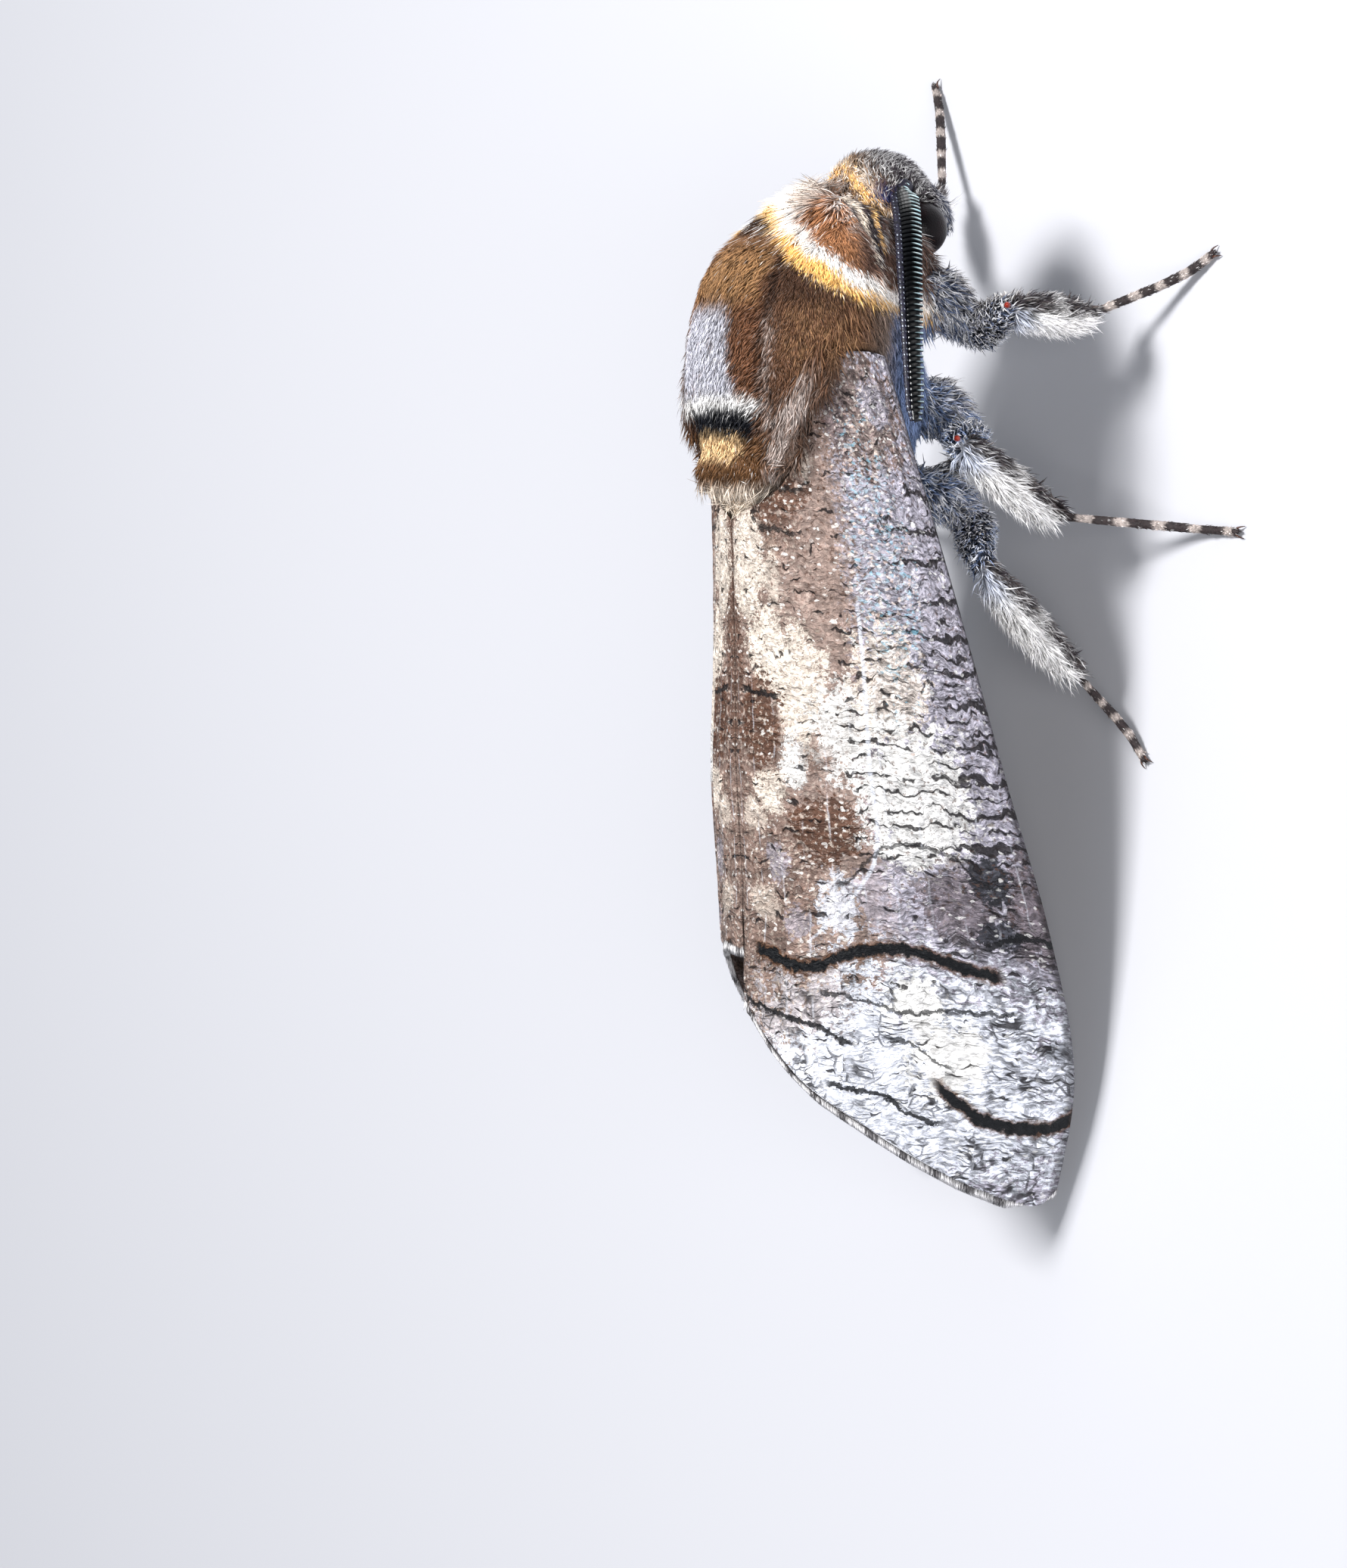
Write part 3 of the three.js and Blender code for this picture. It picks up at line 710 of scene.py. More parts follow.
def pile_group():
    """Fine lying pile under the tufts: uneven colour and a height for its strands."""
    inputs = {"Coat": COLOUR, "Scale": 9000.0}
    build, given = new_group("pile", inputs, {"Color": COLOUR, "Height": FLOAT})
    strands = build.noise(build.place(), given["Scale"], 2.0, 0.6)
    colour = build.lit(given["Coat"], build.ramp(strands, 0.3, 0.7, 0.55, 1.15))
    return build.give(Color=colour, Height=strands)


# ---- Forewings ----

# Points along and across each wing's grid, and how far inside the solid its two faces lie.
FOREWING_GRID = (260, 136)
FOREWING_INSETS = (0.13, 0.36)
HINDWING_GRID = (70, 36)
HINDWING_INSETS = (1.04, 1.30)
FRINGE = 0.5


def roof_point(side, x, share, inset):
    """A point of the folded wings: share is the way down from the ridge to the hem."""
    angle = np.asarray(share) * math.pi / 2
    power = 2 / along(ROOF_X, ROOF_POWER, x)
    half = along(ROOF_X, ROOF_HALF, x) - inset - RIDGE_GAP
    hem = along(ROOF_X, ROOF_HEM, x)
    height = along(ROOF_X, ROOF_RIDGE, x) - hem - inset
    seam = RIDGE_GAP - RIDGE_OVERLAP + 0.05 * window(x, -13.7, -12.0, 0.8)
    out = seam + half * np.sin(angle) ** power + (RIDGE_GAP - seam) * np.sin(angle)
    return beside(x + 0 * out, SIDES[side] * out, hem + height * np.cos(angle) ** power)


def forewing_place(side, length_share, width_share):
    """Where a place of the forewing is: x, and the share of the way down from the ridge."""
    share = width_share ** 0.94
    root = along(*SHARE_ROOT, share)
    lag = along(*SHARE_LAG, share) if side == "l" else 0.0
    edge = along(*SHARE_EDGE, share) + lag + FRINGE
    return root + (edge - root) * length_share, share


def closed_plate(outer, inner):
    """Faces and points of a thin shell between two grids of points, closed along its rim."""
    rows, columns = outer.shape[:2]
    points = np.concatenate([outer.reshape(-1, 3), inner.reshape(-1, 3)])
    number = np.arange(rows * columns).reshape(rows, columns)
    quads = beside(number[:-1, :-1], number[:-1, 1:], number[1:, 1:], number[1:, :-1]).reshape(-1, 4)
    back = quads[:, ::-1] + rows * columns
    rim = np.concatenate([number[0], number[1:, -1], number[-1, -2::-1], number[-2:0:-1, 0]])
    ahead = np.roll(rim, -1)
    wall = beside(rim, rim + rows * columns, ahead + rows * columns, ahead)
    return points, np.concatenate([quads, back, wall])


def wing_relief(x, down):
    """Height of the wing's outer face in mm: veins, folds and pebbled scales."""
    vein_share = (down - VEIN_START) / VEIN_GAP
    to_vein = np.abs(vein_share - np.round(vein_share)) * VEIN_GAP
    vein = 0.06 * np.exp(-((to_vein / 0.16) ** 2)) * smooth_step(down, 0.8, 2.0)
    flat = beside(x, down, 0 * x).reshape(-1, 3)
    pebbles = 0.028 * mottle(flat, 1.6, 3.0).reshape(x.shape)
    swell = 0.07 * mottle(flat * (0.5, 1, 1), 0.45, 5.0).reshape(x.shape)
    return vein + pebbles + swell


def wing_shares(grid):
    """A grid's shares of the way along a wing and across it."""
    return np.meshgrid(*(np.linspace(0, 1, count) for count in grid), indexing="ij")


def wing_piece(kind, side, x, down, faces, material):
    """A wing from its two faces' grids, with places for its pattern: (the piece, a grid's size)."""
    points, plate = closed_plate(*faces)
    if side == "r":
        plate = plate[:, ::-1]
    node = f"{kind}_{side}"
    piece = mesh_piece(f"{node}_membrane", points, plate.tolist(), material, kind, replaced=(node,))
    place = beside(x, down, 0 * x).reshape(-1, 3)
    put_attribute(piece.data, "wing_place", "FLOAT_VECTOR", np.concatenate([place, place]))
    return piece, len(place)


def build_forewing(side, material):
    length_share, width_share = wing_shares(FOREWING_GRID)
    x, share = forewing_place(side, length_share, width_share)
    down = share * WING_ARC
    near_rim = np.minimum(np.minimum(length_share, 1 - length_share) * 60,
                          np.minimum(width_share, 1 - width_share) * 30)
    edge = below(near_rim, 0, 1)
    relief = wing_relief(x, down) * (1 - edge)
    outer = roof_point(side, x, share, FOREWING_INSETS[0] - relief + 0.06 * edge)
    inner = roof_point(side, x, share, FOREWING_INSETS[1] - 0.1 * edge)
    ridge_x = x[:, 0]
    meander = 0.09 * mottle(beside(ridge_x, 0 * ridge_x, 0 * ridge_x), 0.7, 6.0)
    sway = meander[:, None] * below(share, 0.0, 0.25)
    outer[..., 1] += sway
    inner[..., 1] += sway
    piece, count = wing_piece("forewing", side, x, down, (outer, inner), material)
    put_attribute(piece.data, "underside", "FLOAT", np.repeat((0.0, 1.0), count))


def build_hindwing(side, material):
    length_share, width_share = wing_shares(HINDWING_GRID)
    share = 0.1 + 0.66 * width_share
    root = 5.0 + 1.6 * width_share
    edge = -13.6 - 3.4 * np.sin(math.pi * (0.15 + 0.6 * width_share))
    x = root + (edge - root) * length_share
    pleat = 0.05 * np.sin(width_share * 2 * math.pi * 7)
    faces = [roof_point(side, x, share, inset + pleat) for inset in HINDWING_INSETS]
    wing_piece("hindwing", side, x, share * WING_ARC, faces, material)


def forewing_material(markings):
    material, build = new_material("forewing scales", Specular_IOR_Level=0.3)
    out = build.group(markings, Place=build.attribute("wing_place", "Vector"))
    colour = build.mix(build.attribute("underside") * 0.75, out["Color"], UMBER)
    build.give(Base_Color=colour, Roughness=out["Roughness"], Normal=build.bump(out["Height"], 0.22))
    return material


def hindwing_material():
    material, build = new_material("hindwing scales", Roughness=0.75)
    place = build.attribute("wing_place", "Vector")
    net = build.ramp(build.noise(place * (2.6, 1.0, 1.0), 1.0, 3.0), 0.42, 0.6)
    grain = build.noise(place * (3.0, 8.0, 1.0), 1.0, 3.0)
    colour = build.mix(net, tint(0.38, 0.33, 0.31), tint(0.52, 0.47, 0.45))
    build.give(Base_Color=colour, Normal=build.bump(grain, 0.08, 0.7))
    return material


forewing_scales = forewing_material(WingPatternAndPaintedLight().finish())
hindwing_scales = hindwing_material()
for wing_side in SIDES:
    build_forewing(wing_side, forewing_scales)
    build_hindwing(wing_side, hindwing_scales)


# ---- Skin ----

# Joints of the legs: x, distance out from the middle plane, height. The forelegs differ.
LEG_JOINTS = {
    "foreleg_r":
        ((15.4, 2.3, 9.9), (12.9, 2.2, 6.9), (14.1, 6.0, 8.1), (14.3, 5.2, 3.1), (17.0, 9.4, 0.27)),
    "foreleg_l":
        ((15.6, 2.3, 9.9), (14.4, 2.4, 6.8), (17.2, 5.3, 5.9), (20.0, 7.6, 1.8), (24.8, 10.7, 0.27)),
    "midleg": ((10.6, 2.4, 9.7), (8.6, 2.2, 6.5), (8.3, 6.3, 10.4), (5.6, 5.8, 4.6), (5.4, 12.4, 0.27)),
    "hindleg": ((6.7, 2.3, 9.4), (5.5, 2.2, 6.2), (3.4, 5.9, 8.6), (-0.95, 5.2, 2.3), (-4.2, 7.5, 0.27)),
}

# How deep the coat is over each kind of flesh.
COAT_DEPTH = {
    "head": 0.38, "collar": 0.5, "thorax": 0.42, "crest": 0.22, "abdomen": 0.3, "tegula": 0.25,
    "palp": 0.2, "coxa": 0.42, "femur": 0.3, "tibia": 0.3, "tarsus": 0.08,
}
# The flesh is swollen by WELD so that its solids join, and is drawn in again afterwards.
WELD = 0.16
SKIN_VOXEL = 0.16
# The coat takes no more than this share of the flesh's thickness, which is looked for up to MOST_ROOM.
ROOM_SHARE = 0.34
MOST_ROOM = 12.0

BODY_PARTS = ("head", "collar", "thorax", "crest", "abdomen", "tegula_l", "tegula_r", "palp_l", "palp_r")
LEGS = tuple(f"{leg}_{side}" for leg in LEG_NAMES for side in SIDES)
FLESH = BODY_PARTS + tuple(f"{leg}_{part}" for leg in LEGS for part in LEG_PARTS)


def kind_of(node_name):
    """The kind of flesh a node is: the word in its name that COAT_DEPTH has."""
    return next(word for word in node_name.split("_") if word in COAT_DEPTH)


def leg_joints(leg):
    """A leg's five joints, from its root to its toe."""
    joints = np.array(LEG_JOINTS[leg] if leg in LEG_JOINTS else LEG_JOINTS[leg[:-2]], float)
    joints[:, 1] *= SIDES[leg[-1]]
    return joints


def mesh_arrays(mesh):
    """A mesh's points and triangles."""
    mesh.calc_loop_triangles()
    points = np.empty(len(mesh.vertices) * 3)
    mesh.vertices.foreach_get("co", points)
    triangles = np.empty(len(mesh.loop_triangles) * 3, int)
    mesh.loop_triangles.foreach_get("vertices", triangles)
    return points.reshape(-1, 3), triangles.reshape(-1, 3)


def solid_of(name):
    """A solid's points in the moth's frame, with equal ones merged, and its triangles."""
    points, triangles = mesh_arrays(frame["nodes"][name].data)
    points, back = np.unique(np.round(to_moth(points), 4), axis=0, return_inverse=True)
    return points, back.reshape(-1)[triangles]


def joined(names):
    """Several solids as one: points, triangles, and for each triangle its solid's number."""
    points, triangles, owners, count = [], [], [], 0
    for number, name in enumerate(names):
        more, faces = solid_of(name)
        points.append(more)
        triangles.append(faces + count)
        owners.append(np.full(len(faces), number))
        count += len(more)
    return np.concatenate(points), np.concatenate(triangles), np.concatenate(owners)


def tree_of(points, triangles):
    return BVHTree.FromPolygons(points.tolist(), triangles.tolist())


def sum_at(places, values, count):
    """For each of count places, the sum of the rows of values that belong to it."""
    return beside(*(np.bincount(places, weights=column, minlength=count) for column in values.T))


def normals_of(points, triangles):
    first, second, third = (points[triangles[:, corner]] for corner in range(3))
    face = np.cross(second - first, third - first)
    total = sum(sum_at(triangles[:, corner], face, len(points)) for corner in range(3))
    return unit(total)


def relaxed(values, triangles, rounds, share=0.5):
    """Values at the corners of triangles, drawn towards their neighbours' mean in some rounds."""
    start = np.concatenate([triangles[:, k] for k in (0, 1, 2, 1, 2, 0)])
    end = np.concatenate([triangles[:, k] for k in (1, 2, 0, 0, 1, 2)])
    degree = np.maximum(np.bincount(start, minlength=len(values)), 1)[:, None]
    flat = values.reshape(len(values), -1)
    for _ in range(rounds):
        flat = flat + share * (sum_at(start, flat[end], len(flat)) / degree - flat)
    return flat.reshape(values.shape)


def remeshed(points, triangles):
    """One even skin round solids that overlap: points and triangles."""
    mesh = bpy.data.meshes.new("rough flesh")
    mesh.from_pydata(points.tolist(), [], triangles.tolist())
    rough = in_scene("rough flesh", mesh)
    remesh = rough.modifiers.new("one skin", "REMESH")
    remesh.mode = "VOXEL"
    remesh.voxel_size = SKIN_VOXEL
    evaluated = rough.evaluated_get(bpy.context.evaluated_depsgraph_get())
    result = evaluated.to_mesh()
    skin = mesh_arrays(result)
    evaluated.to_mesh_clear()
    bpy.data.objects.remove(rough)
    bpy.data.meshes.remove(mesh)
    return skin


def shape_skin():
    """The skin under the coat: its points, triangles, and the number in FLESH of each point's solid."""
    solids, solid_triangles, owners = joined(FLESH)
    swollen = solids + WELD * normals_of(solids, solid_triangles)
    points, triangles = remeshed(swollen, solid_triangles)
    points = relaxed(points, triangles, 4)
    normals = normals_of(points, triangles)

    flesh_tree = tree_of(solids, solid_triangles)
    owner = np.array([owners[flesh_tree.find_nearest(place)[2]] for place in points.tolist()])
    depths = np.array([COAT_DEPTH[kind_of(name)] for name in FLESH])
    depth = relaxed(depths[owner], triangles, 6)

    skin_tree = tree_of(points, triangles)
    room = np.empty(len(points))
    for number, (place, normal) in enumerate(zip(points.tolist(), normals.tolist())):
        inward = -Vector(normal)
        hit = skin_tree.ray_cast(Vector(place) + inward * 0.03, inward, MOST_ROOM)
        room[number] = MOST_ROOM if hit[3] is None else hit[3]
    room = relaxed(room, triangles, 3)
    depth = np.minimum(depth, ROOM_SHARE * np.maximum(room - 2 * WELD, 0.0))
    to_eye = np.min([np.linalg.norm(points - eye_centre(side), axis=1) for side in SIDES], axis=0)
    depth *= smooth_step(to_eye - EYE_RADIUS, 0.1, 0.6)
    points = points - (WELD + depth)[:, None] * normals
    points = relaxed(points, triangles, 3)
    return points, triangles, owner


def eye_centre(side):
    return np.array((17.2, 2.0 * SIDES[side], 10.06))


# ---- Colours of the coat, by place ----

# The collar's rear edge: its x, by angle round the trunk.
COLLAR_ANGLES = (0, 14, 43, 57.5, 69, 82.5, 96, 109.5, 148, 188)
COLLAR_REAR = (17.5, 17.2, 15.75, 14.8, 14.25, 13.9, 13.6, 13.35, 13.2, 13.2)
# Two stripes at the collar's front, by angle: their x.
STRIPE_ANGLES = (60, 66, 77, 87, 92, 100)
OCHRE_STRIPE = (19.5, 19.3, 18.8, 18.2, 17.7, 16.1)
PALE_STRIPE = (18.5, 18.15, 17.6, 16.75, 15.8, 14.4)
# The head's back, as forward_of gives it, where its ochre strip lies.
OCHRE_REAR = (19.35, 19.8)
# The middle of the blue-black patch on the left of the head.
NAVY_SPOT = (18.35, 1.95, 12.0)
# Degrees that the pattern, the collar's edge and the collar's long hair are turned round the trunk.
ROLL = 8.0
COLLAR_ROLL = 16.0
MANE_ROLL = -8.0
FUR = {
    "cream": tint(0.95, 0.89, 0.82), "white": tint(1.0, 0.99, 0.98), "orange": tint(1.0, 0.80, 0.48),
    "rust": tint(0.54, 0.36, 0.25), "brown": tint(0.46, 0.32, 0.23), "dark": tint(0.24, 0.16, 0.12),
    "painted_highlight": tint(0.70, 0.53, 0.36), "frost": tint(0.86, 0.86, 0.90), "lilac": tint(0.78, 0.76, 0.80),
    "grey": tint(0.58, 0.53, 0.50), "black": tint(0.05, 0.06, 0.10), "sand": tint(0.98, 0.84, 0.64),
    "gloss": tint(0.46, 0.32, 0.20), "blue": tint(0.52, 0.62, 0.80), "navy": tint(0.12, 0.17, 0.36),
    "ochre": tint(1.0, 0.80, 0.52), "smoke": tint(0.24, 0.21, 0.23), "taupe": tint(0.68, 0.52, 0.37),
    "ash": tint(0.88, 0.82, 0.79), "copper": tint(0.70, 0.47, 0.29),
}


def trunk_angles(points):
    """For places round the trunk: the angle down from its top line, in degrees, + on the moth's right."""
    centre = along(TRUNK_X, TRUNK_CENTRE, points[:, 0])
    return np.degrees(np.arctan2(-points[:, 1], points[:, 2] - centre))


def paint(colours, mask, name):
    """Lays a colour of the coat over colours where mask is 1."""
    mask = np.broadcast_to(np.clip(mask, 0, 1), len(colours))[:, None]
    return colours * (1 - mask) + FUR[name] * mask


class Dye:
    """Colours of many places, laid one over another."""

    def __init__(self, name, count):
        self.colours = np.tile(FUR[name], (count, 1))

    def lay(self, name, mask):
        """Lays a colour where mask is 1, and gives the colours so far."""
        self.colours = paint(self.colours, mask, name)
        return self.colours


def trunk_colours(points):
    """Collar, thorax and tegulae, whose pattern runs across all three."""
    x = points[:, 0] + 0.12 * mottle(points, 2.2, 1.0) + 0.14 * mottle(points, 0.9, 17.0)
    signed = trunk_angles(points) + 2.5 * mottle(points, 1.9, 2.0)
    angle = np.abs(signed + ROLL)
    blotch = mottle(points, 1.3, 4.0)
    fine = mottle(points, 3.4, 6.0)
    dye = Dye("brown", len(points))
    dye_thorax(dye, x, signed, blotch, fine)
    dye_tegulae(dye, x, angle, blotch, fine)
    dye_rear_bands(dye, x, angle, blotch)
    dye_collar(dye, points, x, signed)
    return dye_collar_front(dye, x, angle)


def dye_thorax(dye, x, signed, blotch, fine):
    """Back of the thorax: frosted saddle, a painted highlight on the top of its front, dark valleys beside them."""
    angle = np.abs(signed + ROLL)
    saddle_half = 19 + 3.2 * (12.9 - x) + 4 * blotch
    saddle = window(x, 9.0, 13.0, 0.5) * below(np.abs(signed + ROLL + 9) - saddle_half, -4, 3)
    dye.lay("rust", 0.75 * window(angle, 18, 36, 5) * window(x, 8.5, 14, 0.6))
    # Painted highlight: a pale golden brown on the top of the thorax's front.
    dye.lay("painted_highlight", 0.9 * window(x, 13.3, 15.7, 0.7) * below(angle + 5 * blotch, 26, 36))
    dye.lay("frost", 0.95 * saddle * smooth_step(fine, -0.75, -0.3))
    valley = window(angle, 36, 43, 3) * window(x, 12.8, 15.4, 0.6)
    dye.lay("dark", 0.9 * valley)
    dye.lay("dark", 0.55 * window(angle, 33, 38, 2.5) * window(x, 8.5, 13, 0.6))
    dye.lay("dark", 0.95 * smooth_step(x, 15.9, 16.5) * below(angle, 28, 38))
    inner_edge = window(angle, 38, 45, 3) * window(x, 7.6, 12.6, 0.8)
    dye.lay("ash", 0.7 * inner_edge * smooth_step(fine, -0.25, 0.35))


def dye_tegulae(dye, x, angle, blotch, fine):
    """Velvet brown at the front, golden in the middle, grey towards the wing's root."""
    tegula = smooth_step(angle, 42, 47)
    dye.lay("brown", tegula)
    dye.lay("dark", tegula * 0.6 * smooth_step(x + 0.3 * blotch, 12.6, 13.8))
    golden = tegula * window(x, 10.6, 13.2, 0.8) * smooth_step(fine + 0.4 * blotch, -0.25, 0.4)
    dye.lay("taupe", 0.7 * golden * window(angle, 50, 92, 6))
    rear = tegula * below(x - 0.06 * (angle - 60) + 0.5 * blotch, 8.8, 10.4)
    dye.lay("grey", 0.6 * rear * smooth_step(fine, -0.3, 0.3))
    tail = 7.4 + 0.155 * (angle - 42)
    tail_hair = window(x - tail, -1.6, 0.25, 0.3) * window(angle, 38, 62, 5)
    dye.lay("ash", 0.85 * tail_hair * smooth_step(fine, -0.45, 0.1))
    dye.lay("grey", 0.6 * smooth_step(angle, 84, 100))
    dye.lay("blue", 0.85 * smooth_step(angle, 100, 118))


def dye_rear_bands(dye, x, angle, blotch):
    """White, black, a glossy tuft that is sandy on top, and the pale hair behind it."""
    dye.lay("white", window(x, 8.6, 9.3, 0.12) * below(angle, 33, 38))
    dye.lay("black", window(x, 7.6, 8.72, 0.12) * below(angle, 29, 35))
    dye.lay("gloss", window(x, 5.6, 7.65, 0.15) * below(angle, 34, 42))
    dye.lay("sand", window(x, 6.7, 7.65, 0.15) * below(angle + 6 * blotch, 19, 25))
    dye.lay("cream", below(x, 5.3, 5.8))


def dye_collar(dye, points, x, signed):
    """An orange hem, a white band, a copper field under cream and white hair, and painted shade over the top."""
    angle = np.abs(signed + ROLL)
    ahead = x - along(COLLAR_ANGLES, COLLAR_REAR, np.abs(signed + COLLAR_ROLL))
    hem = 0.44 + 0.36 * window(angle, 38, 70, 8) - 0.12 * smooth_step(angle, 80, 100)
    collar = smooth_step(ahead, -0.08, 0.06)
    dye.lay("cream", collar)
    dye.lay("ash", 0.5 * collar)
    field = smooth_step(ahead - hem, 0.5, 0.75) * smooth_step(angle, 31, 40)
    dye.lay("copper", 0.95 * field)
    streaks = smooth_step(mottle(points * (0.6, 1, 1), 3.0, 9.0), -0.15, 0.35)
    dye.lay("white", field * 0.85 * streaks * smooth_step(ahead - hem, 1.5, 2.9))
    above = below(angle, 34, 44) * smooth_step(ahead, 0.5, 1.0)
    # Painted shade: the whole top is greyed a little, where the lamp falls on it most.
    dye.lay("grey", 0.35 * above)
    # Grey streaks in the hair of the top.
    dye.lay("grey", 0.5 * above * smooth_step(mottle(points * (0.5, 1, 1), 3.2, 19.0), 0.0, 0.35))
    dye.lay("white", collar * below(ahead - hem, 0.5, 0.72))
    dye.lay("orange", collar * below(ahead - hem, -0.12, 0.12))
    dye.lay("smoke", 0.75 * smooth_step(angle, 74, 86) * smooth_step(ahead - hem, 0.5, 0.9))


def dye_collar_front(dye, x, angle):
    """Dark, with a pale stripe and an ochre one."""
    front = x - along(STRIPE_ANGLES, PALE_STRIPE, angle)
    strip_zone = smooth_step(angle, 56, 64) * below(angle, 98, 104)
    dye.lay("smoke", 0.85 * strip_zone * smooth_step(front, -0.5, -0.3))
    dye.lay("cream", strip_zone * window(front, -0.2, 0.28, 0.05))
    to_ochre = x - along(STRIPE_ANGLES, OCHRE_STRIPE, angle)
    return dye.lay("ochre", 0.95 * strip_zone * window(to_ochre, -0.26, 0.26, 0.05))


def turned(points, roll=ROLL):
    """Degrees round the trunk from its top line, which is turned by roll."""
    return np.abs(trunk_angles(points) + roll)


def forward_of(points):
    """How far forward places of the head are, less to the sides, as its rear edge runs."""
    return points[:, 0] + 0.78 * np.abs(points[:, 1])


def mirrored(points, place):
    """A place on the left, or its mirror image, for each point: the one on the point's own side."""
    side = np.where(points[:, 1] > 0, 1.0, -1.0)
    return beside(np.full(len(points), place[0]), side * place[1], np.full(len(points), place[2]))


def from_navy(points):
    """How far places are from the blue-black patch behind a feeler's root."""
    return np.linalg.norm(points - mirrored(points, NAVY_SPOT), axis=1)


def head_colours(points):
    """Smoky short hair with pale tips, an ochre strip at the back, blue-black by the feeler's root."""
    z = points[:, 2]
    dye = Dye("smoke", len(points))
    rear = forward_of(points) + 0.06 * mottle(points, 2.0, 12.0)
    dye.lay("taupe", 0.6 * below(rear, 20.1, 20.9) * smooth_step(z, 11.2, 12.2))
    dye.lay("cream", 0.6 * window(rear, 19.8, 20.5, 0.2) * smooth_step(z, 12.2, 12.8))
    dye.lay("ochre", 0.95 * window(rear, *OCHRE_REAR, 0.08) * smooth_step(z, 11.4, 12.0))
    dye.lay("navy", 0.95 * below(from_navy(points), 0.4, 0.6))
    return dye.lay("blue", 0.3 * below(z, 7.4, 9.6))


def abdomen_colours(points):
    """Grey-brown rings with a paler hind edge each."""
    ring = (points[:, 0] + 0.15 * mottle(points, 1.2, 3.0) + 15.2) / 2.6 % 1
    dye = Dye("grey", len(points))
    dye.lay("cream", 0.6 * below(ring, 0.15, 0.45))
    return dye.lay("brown", 0.35 * smooth_step(mottle(points, 0.8, 8.0), 0, 0.5))


def leg_of(node_name):
    return node_name.rsplit("_", 1)[0]


def limb_ends(kind, leg):
    """The joints at the start and the end of a limb."""
    number = LEG_PARTS.index(kind)
    return leg_joints(leg)[number:number + 2]


def on_limb(points, kind, leg):
    """Places on a limb: the share of its length, and how far ahead of its middle line."""
    start, end = limb_ends(kind, leg)
    share = (points - start) @ (end - start) / np.dot(end - start, end - start)
    return share, points[:, 0] - (start[0] + (end[0] - start[0]) * share)


def leg_colours(points, kind, leg):
    """Dark in front, blue and white hair behind, ringed feet."""
    share, across = on_limb(points, kind, leg)
    patch = mottle(points, 1.7, 5.0)
    fleck = mottle(points, 4.5, 7.0)
    dye = Dye("smoke", len(points))
    if kind in ("coxa", "femur"):
        edge, strength = (-0.1, 0.5) if leg.startswith("fore") else (0.5, 0.85)
        dye.lay("blue", strength * below(across + 0.5 * patch, edge, 0.9))
        dye.lay("ash", 0.35 * smooth_step(mottle(points, 1.1, 15.0), 0.0, 0.3))
        dye.lay("white", 0.7 * smooth_step(fleck, 0.05, 0.3))
        return dye.lay("black", 0.75 * smooth_step(-fleck, 0.1, 0.35))
    if kind == "tibia":
        behind = below(across + 0.3 * patch + 0.2 * fleck, -0.35, 0.15)
        dye.lay("grey", 0.5 * smooth_step(fleck, 0.05, 0.35))
        dye.lay("white", behind)
        dye.lay("blue", 0.5 * behind * below(share, 0.1, 0.35))
        return dye.lay("white", 0.7 * window(share, 0.5, 0.62, 0.05) * (1 - behind))
    ringed = (share * 5.0 + 0.12 * patch) % 1
    dye.lay("dark", 0.4)
    return dye.lay("ash", 0.95 * below(np.abs(ringed - 0.85), 0.16, 0.26))


def behind_tibia(points, leg):
    """True for places on the rear side of a leg's tibia."""
    return on_limb(points, "tibia", leg)[1] < -0.2


def coat_colours(points, node_name):
    kind = kind_of(node_name)
    if kind in ("head", "palp"):
        return head_colours(points)
    if kind == "abdomen":
        return abdomen_colours(points)
    if kind in LEG_PARTS:
        return leg_colours(points, kind, leg_of(node_name))
    return trunk_colours(points)


# ---- Coat ----

# For each kind of flesh: length of a tuft, width at its root, degrees it is lifted, disorder, how far
# its colour strays from its place, and the share of tufts whose tips are white.
TUFTS = {
    "head": (0.58, 0.072, 40, 0.40, 0.10, 0.50),
    "palp": (0.46, 0.080, 42, 0.30, 0.10, 0.60),
    "collar": (1.05, 0.070, 17, 0.17, 0.05, 0.12),
    "thorax": (0.66, 0.070, 24, 0.24, 0.10, 0.02),
    "tegula": (0.50, 0.062, 15, 0.22, 0.12, 0.00),
    "crest": (0.62, 0.085, 18, 0.25, 0.08, 0.04),
    "abdomen": (0.65, 0.100, 14, 0.25, 0.20, 0.20),
    "coxa": (0.85, 0.085, 42, 0.45, 0.25, 0.40),
    "femur": (0.80, 0.085, 44, 0.45, 0.25, 0.40),
    "tibia": (0.66, 0.075, 32, 0.30, 0.12, 0.30),
    "tarsus": (0.24, 0.060, 13, 0.20, 0.06, 0.15),
}
# Where the collar's hair spreads from.
COLLAR_WHORL = (18.6, 2.1, 14.4)
# A tuft's side on the unwrapped map.
PATCH = 0.003
TUFT_FACES = ((0, 1, 4, 3), (1, 2, 5, 4), (2, 0, 3, 5), (3, 4, 6), (4, 5, 6), (5, 3, 6), (0, 2, 1))
TUFT_PATCH = ((0.0, 0.0), (0.5, 0.15), (1.0, 0.0), (0.1, 0.5), (0.5, 0.62), (0.9, 0.5), (0.5, 1.0))


